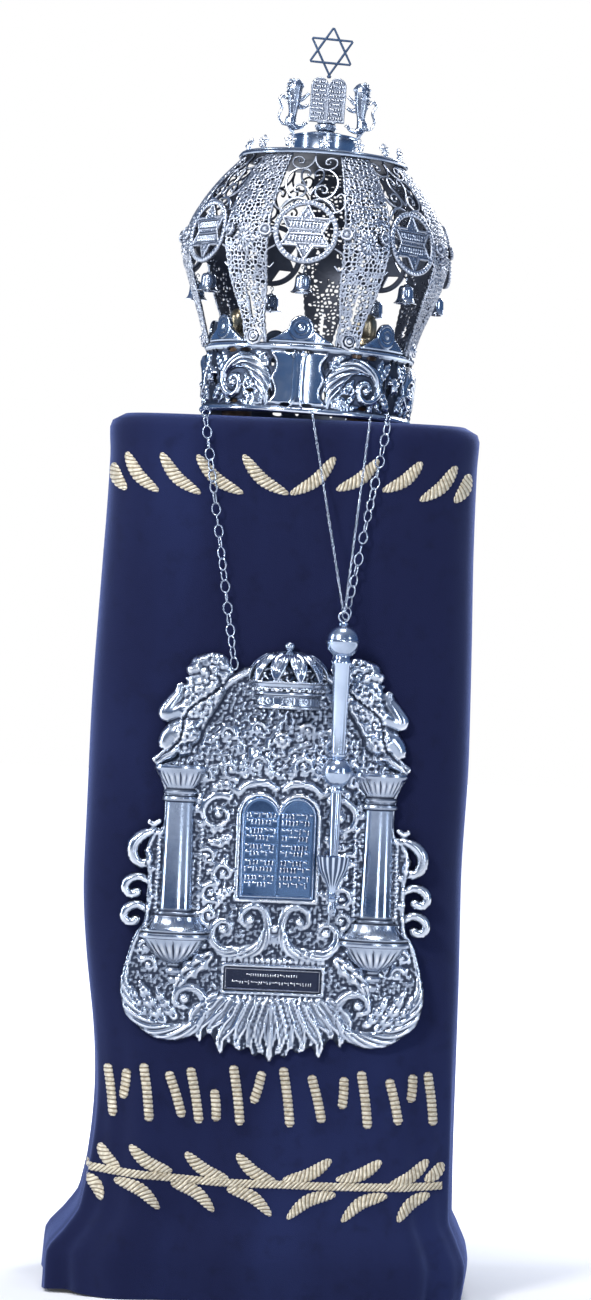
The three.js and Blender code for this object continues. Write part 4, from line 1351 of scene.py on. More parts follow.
@dataclass
class Chains:
    """The two chains of oval links that hold the breastplate, and the fine chain of the pointer."""

    pitch: float = 10.4
    length: float = 13.2
    width: float = 9.6
    gauge: float = 0.8
    fine_pitch: float = 2.5
    fine_gauge: float = 0.45

    def link(self, name: str, length: float, width: float, gauge: float,
             sides: tuple[int, int]) -> bpy.types.Object:
        """One oval link that lies in the XZ plane, long along Z, in millimetres."""
        deselect()
        bpy.ops.mesh.primitive_torus_add(major_segments=sides[0], minor_segments=sides[1], major_radius=1.0,
                                         minor_radius=gauge, rotation=(math.pi / 2, 0, 0))
        bpy.ops.object.transform_apply(location=True, rotation=True, scale=True)
        thing = named(name)
        where = places(thing)
        turn = np.arctan2(where[:, 2], where[:, 0])
        out = np.hypot(where[:, 0], where[:, 2]) - 1.0
        x = (width / 2 - gauge + out) * np.cos(turn)
        z = (length / 2 - gauge + out) * np.sin(turn)
        put(thing, np.stack([x, where[:, 1], z], axis=-1))
        smooth(thing)
        return thing

    def run(self, name: str, link: bpy.types.Object, path: Sequence[Sequence[float]], pitch: float,
            twist: float) -> bpy.types.Object:
        """A run of links along a path, each turned against the last, in metres."""
        links = []
        for k, (at, along) in enumerate(along_path(path, pitch)):
            side = Vector((1, 0, 0)) - along * along.x
            side.normalize()
            out = along.cross(side)
            turn = Matrix((side, out, along)).transposed().to_4x4()
            own = Matrix.Rotation(math.radians(twist * k + 7 * math.sin(2.3 * k)), 4, "Z")
            place = Matrix.Translation((at + SHIFT) * MM) @ Matrix.Scale(MM, 4) @ turn @ own
            links.append(copied(link, name, place))
        return joined(name, links)

    def build(self, finishes: Finishes) -> None:
        """Make the three chains."""
        link = self.link("link", self.length, self.width, self.gauge, (20, 8))
        for side, path in CHAIN_PATHS.items():
            word = side.name.lower()
            chain = self.run(f"link_chain_{word}", link, path, self.pitch, 78.0)
            finish_piece(chain, finishes.silver, Slot.SILVER, f"breastplate_chain_{word}")
        fine = self.link("fine", 3.9, 3.0, self.fine_gauge, (10, 5))
        strands = [self.run("strand", fine, path, self.fine_pitch, 60.0) for path in POINTER_STRANDS]
        deselect()
        bpy.ops.mesh.primitive_torus_add(major_segments=28, minor_segments=10, major_radius=4.6,
                                         minor_radius=1.0,
                                         rotation=(math.pi / 2, 0, 0))
        bpy.ops.object.transform_apply(location=True, rotation=True, scale=True)
        ring = moved(named("ring"), Matrix.Translation((Vector((58, -136, 643.6)) + SHIFT)
                                                       * MM) @ Matrix.Scale(MM, 4))
        smooth(ring)
        finish_piece(joined("fine_pointer_chain", [*strands, ring]), finishes.silver, Slot.SILVER,
                     "pointer_chain")
        pick(link, fine)
        bpy.ops.object.delete()


@dataclass
class Pointer:
    """A turned rod with two balls, a fluted cuff that opens upward and a small hand below."""

    x: float = 58.0
    y: float = -136.0
    upper_ball: float = 621.0
    upper_radius: float = 15.8
    lower_ball: float = 499.5
    lower_radius: float = 14.4
    flutes: int = 16

    @staticmethod
    def ball(z: float, r: float, neck: float) -> list[Point2]:
        """A ball's profile with a fine seam round its middle."""
        start = math.asin(neck / r)
        found = [(r * math.sin(a), z - r * math.cos(a)) for a in np.linspace(start, math.pi / 2 - 0.05, 9)]
        seam = [(r + 0.35, z - 0.5), (r + 0.35, z + 0.5)]
        return [*found, *seam, *[(p[0], 2 * z - p[1]) for p in reversed(found)]]

    def rod(self) -> bpy.types.Object:
        """The rod, in millimetres from the floor, on its own axis."""
        beads = [(4.4, 381.6), (3.0, 383.6), (4.9, 385.2), (3.1, 387.2)]
        cuff = curved([(3.1, 387.2), (3.6, 391), (7.5, 399), (12.6, 408), (14.4, 414), (15.6, 421)])
        inner = [(14.9, 421.3), (13.6, 415), (8, 404), (4.6, 400.5)]
        lower = [(4.6, 402), (3.7, 404), (3.9, 410), (5.2, 480), (6.6, 481), (6.8, 483), (5.6, 484.4)]
        upper = [(7.4, 514.2), (7.6, 516), (6.3, 517), (6.6, 520), (8.2, 598), (9.6, 600), (9.7, 602.5),
                 (8.4, 604)]
        crown = [(4.6, 636.6), (5.2, 637.6), (4.4, 638.8), (2.0, 639.6), (0, 639.8)]
        profile = [(0, 379.5), (3.2, 379.5), *beads, *cuff[1:], *inner, *lower,
                   *self.ball(self.lower_ball, self.lower_radius, 5.6), *upper,
                   *self.ball(self.upper_ball, self.upper_radius, 8.0), *crown]
        thing = spun("turned_pointer", profile, 96, 50.0)
        where = places(thing)
        turn = np.arctan2(where[:, 1], where[:, 0])
        r = np.hypot(where[:, 0], where[:, 1])
        on_cuff = np.clip((where[:, 2] - 391) / 8, 0, 1) * (where[:, 2] < 422) * (r > 4.2)
        flute = np.abs(np.sin(self.flutes / 2 * turn))
        r_new = r * (1 - on_cuff * 0.07 * flute)
        scale = np.where(r > 1e-6, r_new / np.maximum(r, 1e-6), 1)
        put(thing, np.stack([where[:, 0] * scale, where[:, 1] * scale, where[:, 2]], axis=-1))
        # Painted highlight on the cuff's ridges and painted shade in its flutes.
        shade = on_cuff * (0.35 - 0.95 * flute)
        mark(thing, "relief", shade)
        return thing

    def hand(self) -> bpy.types.Object:
        """A small closed hand with one finger out, in millimetres."""
        fist = [(0, 0, 380), (0.3, 0, 376), (0.2, 0, 372), (-0.4, 0, 368.5), (-0.6, 0, 367)]
        parts = [wire("fist", fist, [2.8, 3.9, 4.4, 3.9, 2.6], 12),
                 wire("finger", [(-1.1, -0.8, 371), (-1.5, -0.9, 365), (-2, -0.6, 357.6)], [1.7, 1.4, 0.9],
                      10),
                 wire("thumb", [(3.0, -1.0, 375), (3.6, -1.6, 370.5), (2.4, -2.2, 367.5)], [1.5, 1.4, 0.9],
                      10)]
        for k in range(3):
            x = 0.6 + 1.5 * k - 1.0
            parts.append(wire("knuckle", [(x, -1.8, 370.5), (x + 0.2, -3.0, 367.8), (x + 0.2, -1.6, 366)],
                              [1.2, 1.25, 0.9], 8))
        hand = joined("small_hand", parts)
        apply_modifier(hand, "REMESH", mode="VOXEL", voxel_size=0.42)
        apply_modifier(hand, "SMOOTH", iterations=3)
        smooth(hand)
        return hand

    def build(self, finishes: Finishes) -> None:
        """Make the rod and the hand."""
        place = Matrix.Translation((Vector((self.x, self.y, 0)) + SHIFT) * MM) @ Matrix.Scale(MM, 4)
        finish_piece(moved(self.rod(), place), finishes.mirror, Slot.SILVER, "pointer")
        finish_piece(moved(self.hand(), place), finishes.silver, Slot.SILVER, "pointer_hand")


# The breastplate

# Right half of the plate's outline, from the top down, in millimetres from its middle
PLATE_HALF = [
    (0, 173), (31, 170), (45, 165), (64, 146), (90, 126), (97, 97), (118, 77), (109, 54), (108, 20),
    (116, 12),
    (122, 2), (124, -12), (121, -26), (121, -54), (123, -72), (131, -86), (138, -110), (142, -131),
    (139, -149.5), (135, -160),
    (122, -171), (107, -180.5), (87.5, -182.5), (70, -177), (66, -183), (56, -174), (46, -193), (39, -182.5),
    (28, -189.5), (19.5, -185.5), (14.5, -194), (7.5, -190.5), (0, -199),
]
# The lion on the right: each limb's half width and path, away from the middle
PLATE_LION = {
    "mane": [(60, 163, 12), (66, 167, 18), (71, 155, 19), (78, 138, 17), (84, 120, 13.5), (90, 104, 12),
             (93, 92, 9)],
    "arm": [(80, 133, 11), (96, 127, 11), (109, 123, 8.6), (105, 131, 8), (99, 140, 7), (97, 147, 5)],
    "leg": [(90, 106, 14), (101, 103, 13), (107, 96, 10), (104, 88, 8), (110, 83, 6), (117, 80, 3.6)],
    "head": [(74, 171, 9.5), (80, 169, 9.5)],
    "muzzle": [(82, 166.5, 6.4), (88, 164.5, 5)],
    "jaw": [(79, 158.5, 4.8), (86, 157, 3.4)],
    "tongue": [(86, 156, 1.5), (92, 156.5, 1.6)],
    "tail": [(62, 140, 3), (54, 152, 3), (44, 160, 3.4), (34, 165, 3)],
}
# The rolled scrolls that stand out from the plate's right edge
WINGS = [
    [(110, 12, 3), (118, 12, 4), (128, 8, 5), (135, -1, 5.6), (134, -12, 5.4), (127, -18, 4.6), (120, -14, 4),
     (122, -7, 3.4)],
    [(120, -34, 3.4), (129, -30.5, 4), (138, -34, 4.4), (141, -41, 4.4), (136, -47, 4.2), (130, -45, 4.4)],
    [(120, -61, 3.4), (129, -56.5, 4), (138, -60, 4.4), (141, -67, 4.4), (136, -73, 4.2), (130, -71, 4.4)],
    [(112, 22, 2.4), (117, 19, 2.6), (121, 21, 2.2)],
]
# Each scroll on the right: its eye, reach, start in degrees, hand, half width and number of leaves
VOLUTES = [
    (57, 31, 19, 120, -1, 3.6, 7), (66, -9, 8, 60, 1, 2.2, 3), (50, -24, 11, -60, 1, 2.8, 5),
    (61, -44, 10, 100, -1, 2.6, 5), (62, -64, 8.5, -80, 1, 2.4, 3), (22, 78.5, 10, 200, -1, 2.8, 5),
    (47, 73, 8.5, 250, 1, 2.4, 4), (70, 66, 7, 30, 1, 2.2, 3), (24, 112, 7, 160, -1, 2.0, 3),
    (52, 106, 8, 200, -1, 2.2, 4), (116, -112, 7, 30, 1, 2.2, 3), (121, -96, 6, 100, -1, 2.0, 2),
]
# Long fluted bands on the right, with a half width at each point
BANDS = [
    [(31, -98, 6), (14, -92, 6.2), (6.5, -75, 5.6), (10, -58, 4.6), (20, -53, 4), (30, -58, 3.4),
     (31, -68, 3),
     (24, -72, 2.6), (20.5, -67, 2.4)],
    [(31, -98, 6), (46, -97, 5.6), (57, -88, 4.8), (58, -76, 4.2), (51, -69, 3.6), (43, -71, 3),
     (42, -79, 2.6),
     (48, -81, 2.4)],
    [(134, -88, 2.6), (138, -112, 4), (138, -136, 5), (129, -156, 6.5), (112, -171, 8), (90, -174, 8.5),
     (70, -167, 8), (61, -152, 7), (65, -138, 5.6), (77, -131.5, 4.6), (88, -136, 4), (90, -146, 3.6),
     (82, -150, 3)],
    [(39, 52, 3), (30, 60, 3.6), (14, 62, 3.8), (4, 57, 3)],
]
EYES = [(23, -66.5, 4.2), (48.5, -76.5, 4.2), (81, -142.5, 4.8)]
# Leaves on the right: the midrib's points, and half the greatest width
LEAVES = [
    ([(57, -99), (70, -110), (83, -121), (91, -135)], 8.5), ([(98, -166), (112, -150), (124, -128)], 7),
    ([(88, -162), (100, -148), (108, -134)], 5.5), ([(112, -165), (125, -150), (132, -132)], 6),
    ([(118, -168), (130, -163), (139, -156)], 4.5), ([(40, -38), (50, -44), (56, -56)], 5),
    ([(44, 12), (56, 4), (66, 6)], 5), ([(42, 56), (54, 58), (66, 52)], 5),
    ([(8, 66), (12, 76), (10, 86)], 4.5),
    ([(32, 66), (36, 76), (34, 88)], 4.5), ([(115, 12), (124, 10), (131, 3)], 4),
    ([(114, -22), (124, -24), (134, -32)], 4.5),
    ([(114, -48), (124, -50), (134, -56)], 4.2), ([(112, -78), (122, -76), (130, -80)], 4),
    ([(74, -92), (66, -84), (62, -74)], 4), ([(12, -82), (14, -94), (10, -101)], 3.4),
]
FAN = [
    ([(2, -139), (9, -160), (11, -178), (6, -192)], 7.5), ([(9, -139), (16, -162), (19, -182), (16, -192)],
                                                           6.5),
    ([(17, -139), (25, -160), (31, -178), (28, -190)], 7.5),
    ([(26, -140), (35, -160), (46, -178), (46, -192)], 8.5),
    ([(35, -139), (45, -156), (56, -168), (56, -176)], 7.5),
    ([(43, -138), (55, -153), (66, -168), (66, -182)], 7.5),
    ([(51, -137), (63, -148), (73, -160), (73, -172)], 6.5),
    ([(30, -140), (36, -156), (42, -170), (38, -181)], 5.5),
]


def mirrored(side: Side, points: Sequence[Sequence[float]]) -> list[Point2]:
    """The first two numbers of each point, turned over to the given side."""
    return [(side.value * p[0], p[1]) for p in points]


def strokes(sheet: Chased, rows: Sequence[tuple[float, float]], left: float, right: float, seed: int,
            gap: float = 2.3, thick: float = 0.68) -> None:
    """Raise rows of short strokes that aren't letters.

    Args:
        sheet: the sheet to work.
        rows: each row's height and the strokes' height.
        left: where the rows start.
        right: where they end.
        seed: which arrangement it is.
        gap: from one stroke to the next.
        thick: half a stroke's width.
    """
    dice = np.random.default_rng(seed)
    for v, tall in rows:
        u = left + dice.random()
        while u < right - 1.2:
            lean, foot = (dice.random() - 0.5) * 0.9, tall * (0.15 + 0.35 * dice.random())
            if dice.random() < 0.7:
                path = [(u, v - foot), (u + lean, v + tall / 2)]
                u += gap
            else:
                path = [(u, v + tall / 2), (min(u + 2.2, right), v + tall / 2 - 0.3)]
                u += 1.2 + gap
            sheet.rod(path, thick, 1.3, floor=0.8)


def tablet_outline(width: float, height: float) -> list[Point2]:
    """The outline of two tablets side by side, with round heads, from its lower right corner."""
    quarter = width / 4
    turns = np.linspace(0, math.pi - 0.3, 10)
    right = [(quarter + quarter * math.cos(a), height - quarter + quarter * math.sin(a)) for a in turns]
    return [(width / 2, 0), *right, *[(-u, v) for u, v in reversed(right)], (-width / 2, 0)]


@dataclass
class Breastplate:
    """A repousse plate with columns, lions, a half crown, tablets and a name plate fixed on it."""

    x: float = 6.3
    z: float = 423.8
    back: float = -103.8
    thick: float = 2.4
    step: float = 1.37
    column_at: float = 93.2
    column_proud: float = 0.62
    tablets: tuple[float, float, float] = (70.0, 95.0, -45.7)
    name_plate: tuple[float, float, float] = (90.0, 21.0, -121.8)
    crown_at: tuple[float, float] = (3.0, 132.4)

    def wrap(self, out: float = 0.0) -> Wrap:
        """Lay a sheet flat on the plate's front, or this far in front of it."""
        x, z, face = self.x + SHIFT.x, self.z, self.back + SHIFT.y - self.thick - out
        return lambda u, v, h: np.stack([x + u, face - h, z + v], axis=-1)

    def place(self, u: float, v: float) -> Matrix:
        """Where a piece that is fixed on the plate has its origin, in metres."""
        face = self.back + SHIFT.y - self.thick - 0.35
        return Matrix.Translation(Vector((self.x + SHIFT.x + u, face, self.z + v)) * MM) @ Matrix.Scale(MM, 4)

    @staticmethod
    def limb(sheet: Chased, side: Side, limb: Sequence[Sequence[float]], high: float,
             floor: float) -> np.ndarray:
        """Raise a limb, also past the plate's outline, and return how far each place is inside it."""
        path = through([(side.value * u, v, r) for u, v, r in limb], 5)
        points, radii = [(p[0], p[1]) for p in path], [p[2] for p in path]
        window, along, beside = sheet.near(points, max(radii))
        room = np.full_like(sheet.h, -9.0)
        room[window] = np.interp(along, np.linspace(0, 1, len(radii)), radii) - np.abs(beside)
        sheet.room = np.maximum(sheet.room, room)
        sheet.rod(points, radii, high, floor=floor)
        return room

    def lion(self, sheet: Chased, side: Side) -> np.ndarray:
        """Raise a lion and return where its curled mane is, from 0 to 1."""
        highs = {"mane": 0.5, "head": 0.8, "muzzle": 1.4, "jaw": 1.5, "tail": 0.9, "tongue": 1.4}
        rooms = {part: self.limb(sheet, side, limb, highs.get(part, 0.85),
                                 2.5 if part in ("muzzle", "jaw", "tongue") else 1.0)
                 for part, limb in PLATE_LION.items()}
        for u, v, r in ((82, 171, 1.7), (91, 167, 2.0), (80, 175, 2.6), (71, 181, 3.4), (76, 163.5, 3.4)):
            sheet.dome(side.value * u, v, r, 1.0, over=True)
        for u, v in ((92.5, 149), (96, 152), (100, 151), (113, 78.5), (117, 77.5), (120, 79)):
            sheet.dome(side.value * u, v, 2.3, 0.9, floor=3.0)
        face = np.hypot((sheet.u - side.value * 85) / 1.1, sheet.v - 165) < 11
        return np.where(face, 0, np.clip(rooms["mane"] / 2.5, 0, 1))

    def ground(self, sheet: Chased) -> None:
        """Work the ground: berries all over, larger and looser towards the top."""
        first, _, who = sheet.cells(3.5, 4)
        sheet.h = 1.25 * np.sqrt(np.clip(1 - (first / 1.9) ** 2, 0, 1)) * (0.6 + 0.5 * who)
        first, _, who = sheet.cells(5.6, 9)
        curls = 2.4 * np.sqrt(np.clip(1 - (first / 2.9) ** 2, 0,
                                      1)) * (0.65 + 0.35 * np.cos(first * 3.1 + 3 * who))
        upper = np.clip((sheet.v - 62) / 8, 0, 1) * np.clip((128 - np.abs(sheet.u) * 0.25 - sheet.v) / 10, 0,
                                                            1)
        sheet.h = np.maximum(sheet.h, curls * upper)

    def plate(self) -> bpy.types.Object:
        """The plate, its relief chased from a flat sheet."""
        sheet = Chased(-146, 146, -201, 188, self.step)
        half = through(PLATE_HALF, 3)
        ring = [*half, *[(-u, v) for u, v in reversed(half[1:-1])]]
        sheet.trim(sheet.outline(ring))
        rim = sheet.room.copy()
        self.ground(sheet)
        manes = np.zeros_like(sheet.h)
        for side in Side:
            manes = np.maximum(manes, self.lion(sheet, side))
            for u, v, reach, start, hand, thick, frill in VOLUTES:
                turn = start if side is Side.RIGHT else 180 - start
                sheet.volute((side.value * u, v), reach, turn, hand * side.value, thick, frill=frill,
                             floor=1.2)
            sheet.leaf([(0, -140), (0, -166), (0, -199)], 6, 5.5, 2, floor=1.5, ribs=1)
            for points, width in LEAVES:
                sheet.leaf(through(mirrored(side, points), 4), width, width * 0.55, 4, floor=1.3)
            for points, width in FAN:
                sheet.leaf(through(mirrored(side, points), 4), width, width * 0.75, 2, floor=1.0, ribs=2)
            for wing in WINGS:
                self.limb(sheet, side, wing, 1.0, 1.2)
            for band in BANDS:
                sheet.fluted([(side.value * u, v, r) for u, v, r in band], 15.0 * side.value, 1.4)
            for u, v, r in EYES:
                sheet.dome(side.value * u, v, r, 0.95, floor=2.5)
            for u in (72.5, 112):
                sheet.beads([(side.value * u, -58), (side.value * (u - 1), 44)], 3.9, 1.5, 0.9, floor=1.6)
            edge = [p for p in mirrored(side, half) if -168 < p[1] < 122]
            inner = [(p[0] * 0.982, p[1] * 0.99) for p in edge]
            sheet.rod(inner, 2.2, 0.85, floor=0.8)
        self.centre(sheet)
        first, _, who = sheet.cells(4.7, 21)
        curls = np.sqrt(np.clip(1 - (first / 2.6) ** 2, 0, 1)) * (0.72 + 0.28 * np.cos(3.2 * first + 6 * who))
        sheet.h += manes * (3.2 * curls - 1.0)
        # The low ground gets painted shade.
        sheet.low = 1.3
        sheet.h *= np.clip(0.35 + rim / 2.6, 0.35, 1) * (rim > -0.5) + (rim <= -0.5)
        sheet.soften(1)
        return sheet.made("repousse_plate", self.wrap(), self.thick)

    def centre(self, sheet: Chased) -> None:
        """Raise what stands in the middle: the frames of both plates, their borders and a rosette."""
        width, height, low = self.tablets
        half = width / 2 + 2.2
        top = low + height - width / 4
        heads = [(half * 0.5 * side + half * 0.5 * math.cos(a), top + half * 0.52 * math.sin(a))
                 for side in (1, -1) for a in np.linspace(0.05, math.pi - 0.25, 9)]
        frame_line = [(half, low - 2.2), *heads, (-half, top), (-half, low - 2.2), (half, low - 2.2)]
        sheet.rod(frame_line, 2.0, 1.0, floor=1.6)
        width, height, middle = self.name_plate
        for v, r in ((middle + height / 2 + 7.6, 2.3), (middle - height / 2 - 6.6, 2.3)):
            sheet.beads([(-46, v), (46, v)], 5.2, r, 0.9, floor=1.4)
            inner = v - math.copysign(3.6, v - middle)
            sheet.beads([(-45, inner), (45, inner)], 3.0, 1.1, 0.9, floor=1.2)
        corner = (width / 2 + 2, height / 2 + 2)
        ring = [(a * corner[0], middle + b * corner[1]) for a, b in ((1, 1), (-1, 1), (-1, -1), (1, -1),
                                                                     (1, 1))]
        sheet.rod(ring, 1.6, 1.0, floor=0.8)
        for k in range(8):
            turn = math.radians(45 * k + 10)
            away = (5.6 * math.cos(turn), 102.6 + 5.6 * math.sin(turn))
            sheet.dome(away[0], away[1], 2.9, 0.8, floor=1.8)
        sheet.dome(0, 102.6, 3.2, 1.0, floor=3.2)
        sheet.dome(0, -74, 3.4, 1.0, floor=2.5)
        for k in range(7):
            turn = math.radians(-90 + 22 * (k - 3))
            tip = (9 * math.cos(turn), -76 + 13 * math.sin(turn))
            sheet.rod([(0, -76), tip], [0.8, 1.9, 1.2], 0.9, floor=1.6)

    def column(self) -> bpy.types.Object:
        """A half-round column: an urn below, a smooth tapering shaft and a wide fluted capital."""
        profile = [
            (0, -129.5), (3.2, -129), (5.0, -126.5), (5.4, -124.5), (3.6, -122), (4.2, -120.6), (7.6, -118.8),
            (8.2, -116.6),
            (7.4, -115), (5.6, -113.4), (5.8, -110.5), (10.5, -108), (16, -104.6), (23, -98), (28.6, -90.5),
            (30.6, -87.2),
            (33.2, -86.4), (34.0, -84.2), (33.2, -82), (31.2, -81.2), (31.8, -79.8), (31.6, -78.4),
            (29.4, -77.4),
            (26, -74), (22.6, -69.4), (22, -66.4), (21.4, -65.2), (17.4, -64.4), (17.2, -62.4), (15.6, -61.2),
            (15.2, -58), (13.2, 40), (13.4, 41), (16.2, 42), (16.9, 43.8), (16.2, 45.6), (14.4, 46.4),
            (14.4, 48),
            (15.8, 49), (16.2, 50.4), (15.2, 51.8), (13.8, 53), (14.6, 55), (17.2, 58.6), (20.6, 64),
            (23.4, 69.6),
            (24.9, 70.6), (25.6, 72.6), (24.9, 74.8), (22, 75.6), (0, 76),
        ]
        thing = spun("column", profile, 96, 40.0)
        pick(thing)
        bpy.ops.object.mode_set(mode="EDIT")
        bpy.ops.mesh.select_all(action="SELECT")
        bpy.ops.mesh.bisect(plane_co=(0, 0, 0), plane_no=(0, 1, 0), clear_outer=True, use_fill=True)
        deselect()
        where = places(thing)
        turn = np.arctan2(where[:, 0], -where[:, 1])
        z = where[:, 2]
        r = np.hypot(where[:, 0], where[:, 1])
        cup = np.clip(1 - np.abs(z - 62) / 7.5, 0, 1)
        bowl = np.clip(1 - np.abs(z + 98) / 10, 0, 1)
        shoulder = np.clip(1 - np.abs(z + 72) / 5.5, 0, 1)
        petals = np.abs(np.sin(11 * turn)) ** 0.7
        ruffle = np.abs(np.sin(14 * turn + z * 0.5)) ** 0.6
        beads = np.abs(np.sin(24 * turn)) * np.clip(1 - np.abs(z - 48.8) / 1.6, 0, 1)
        deep = (0.1 * cup * (1 - petals) + 0.09 * bowl * (1 - petals) + 0.05 * shoulder * (1 - ruffle)
                + 0.03 * beads)
        scale = 1 - deep
        put(thing, np.stack([where[:, 0] * scale, where[:, 1] * scale * self.column_proud, z], axis=-1))
        # Painted highlights on the petals and ruffles, painted shade between them and in the necks.
        necks = sum(np.exp(-(((z - at) / 0.9) ** 2)) for at in (-122, -113.4, -81.2, -65, -61.4, 41, 46.8,
                                                                52.6))
        shade = (cup + bowl) * (petals - 0.66) * 1.8 + shoulder * (ruffle - 0.7) - 0.5 * np.clip(necks, 0, 1)
        mark(thing, "relief", np.where(r < 1, 0, np.clip(shade, -1, 1)))
        return thing

    def tablets_piece(self) -> bpy.types.Object:
        """The two tablets, with round heads, a raised edge and rows of strokes on each."""
        width, height, low = self.tablets
        half = width / 2
        sheet = Chased(-half - 1, half + 1, -1, height + 1, 0.72)
        sheet.trim(sheet.outline(tablet_outline(width, height)))
        sheet.h += 0.5
        edge = sheet.room
        sheet.h += 1.3 * np.exp(-(((edge - 1.5) / 0.85) ** 2))
        sheet.h -= 0.35 * np.exp(-((sheet.u / 0.5) ** 2)) * (sheet.v < height - 11)
        rows = [(level, 3.8) for top in (77.3, 62.6, 47.9, 33.2, 19) for level in (top, top - 6.2)]
        strokes(sheet, rows, -half + 4.5, -2.5, 5, 3.3, 0.85)
        strokes(sheet, rows, 3.0, half - 4.5, 6, 3.3, 0.85)
        wrap = self.wrap(0.35 + 2.4)
        return sheet.made("pair_of_tablets", lambda u, v, h: wrap(u, v + low, h), 2.4)

    def name_plate_piece(self) -> bpy.types.Object:
        """The dark name plate with its raised frame; where a name would be, there are two rows of strokes."""
        width, height, middle = self.name_plate
        sheet = Chased(-width / 2, width / 2, -height / 2, height / 2, 0.6)
        edge = np.minimum(width / 2 - np.abs(sheet.u), height / 2 - np.abs(sheet.v))
        sheet.h += 0.3 + 1.2 * np.exp(-(((edge - 1.1) / 0.8) ** 2))
        strokes(sheet, [(4.2, 1.7)], -24, 24, 8)
        strokes(sheet, [(-3.2, 2.2)], -38, 38, 9)
        wrap = self.wrap(0.35 + 1.9)
        return sheet.made("name_plate", lambda u, v, h: wrap(u, v + middle, h), 1.9)

    def half_crown(self) -> bpy.types.Object:
        """Half of a closed crown: a band with diamonds, a pierced crest row and five leaf-shaped arches."""
        outline = np.array([(30.6, 0), (31.2, 1.4), (29.8, 3), (29.6, 10.4), (31, 12), (31.2, 13.4), (33, 17),
                            (35.6, 23),
                            (36.2, 29), (34.6, 35.5), (30, 42), (22, 47.6), (11, 51), (3.4, 52)])
        line = np.array(through(outline, 6))
        run = np.concatenate([[0], np.cumsum(np.linalg.norm(np.diff(line, axis=0), axis=1))])
        level = np.interp([0, 3, 10.4, 13.4, 24.5, 52], line[:, 1], run)
        degree = math.radians(1) * 30
        sheet = Chased(-88 * degree, 88 * degree, 0, run[-1], 0.8)
        angle = sheet.u / degree
        for at, r in ((0.9, 1.4), (level[2] + 1.2, 1.2), (level[3], 1.3), (level[4], 1.1)):
            sheet.rod([(-88 * degree, at), (88 * degree, at)], r, 0.8, floor=0.4)
        middle = (level[1] + level[2]) / 2 + 0.4
        for k in range(-2, 3):
            c = 36 * k * degree
            sheet.rod([(c, middle - 2.6), (c + 2.4, middle), (c, middle + 2.6), (c - 2.4, middle),
                       (c, middle - 2.6)], 0.7, 1.0)
            for side in (-1, 1):
                d = c + side * 11 * degree
                sheet.rod([(d, middle - 3), (d, middle + 3)], 0.8, 1.0)
        pierced = np.full_like(sheet.u, 9.0)
        for k in range(-5, 6):
            c = 18 * k * degree
            sheet.dome(c, level[3] + 4.4, 2.0, 0.9, floor=0.8)
            sheet.rod(spiral((c + 3.2, level[3] + 4.2), 2.6, 200, 1.0, -1, steps=10), 0.7, 1.2, floor=0.5)
            sheet.rod(spiral((c - 3.2, level[3] + 4.2), 2.6, -20, 1.0, 1, steps=10), 0.7, 1.2, floor=0.5)
            for side in (-1, 1):
                hole = np.hypot((sheet.u - c - side * 3.2) / 1.0, (sheet.v - level[3] - 4.2) / 1.2) - 1.2
                pierced = np.minimum(pierced, np.where(k % 2 == 0, hole, 9.0))
        above = sheet.v - level[4] - 1.0
        t = np.clip(above / (run[-1] - level[4] - 1.0), 0, 1)
        nearest = np.abs((angle + 90 + 18) % 36 - 18)
        radius = np.interp(sheet.v, run, line[:, 0])
        across = np.radians(nearest) * radius
        wide = 2.2 + 7.0 * np.sin(np.pi * np.clip(t * 1.1, 0, 1)) ** 0.9 * (1 - 0.35 * t)
        gap = wide - across
        arches = np.where(above > 0, np.where(t > 0.93, 5.0, gap), 9.0)
        sheet.trim(np.minimum(arches, pierced))
        body = np.where((above > 0) & (gap > 0), np.minimum(gap, 2.6) * 0.55, 0)
        edge_line = 0.9 * np.exp(-(((gap - 1.1) / 0.7) ** 2)) * (above > 0)
        away = np.hypot(across, (t - 0.42) * 17)
        drop = (1.3 * np.exp(-(((away - 3.9) / 0.8) ** 2)) + 1.2 * np.exp(-((away / 1.6) ** 2))) * (above > 0)
        sheet.h += body + edge_line + drop

        def wrap(u: np.ndarray, v: np.ndarray, h: np.ndarray) -> np.ndarray:
            """Bend the sheet round the crown's profile."""
            r = np.interp(v, run, line[:, 0])
            z = np.interp(v, run, line[:, 1])
            dr = np.interp(v, run, np.gradient(line[:, 0], run))
            dz = np.interp(v, run, np.gradient(line[:, 1], run))
            turn = np.radians(u / degree)
            r, z = r + h * dz, z - h * dr
            return np.stack([r * np.sin(turn), -0.72 * r * np.cos(turn), z], axis=-1)

        shell = sheet.made("shell", wrap, 1.0)
        moved(shell, Matrix.Scale(1 / MM, 4))
        knob = spun("knob", [(0, 50), (4.6, 50.4), (5.2, 52), (3.2, 53.2), (2.4, 54.2), (4.2, 55.6),
                             (5.0, 58), (4.3, 60.4),
                             (2.2, 61.8), (0, 62.2)], 20)
        where = places(knob)
        put(knob, where * np.array([1, 0.8, 1]) - np.array([0, 3.9, 0]))
        mark(knob, "relief", np.zeros(len(where)))
        return joined("half_crown", [shell, knob])

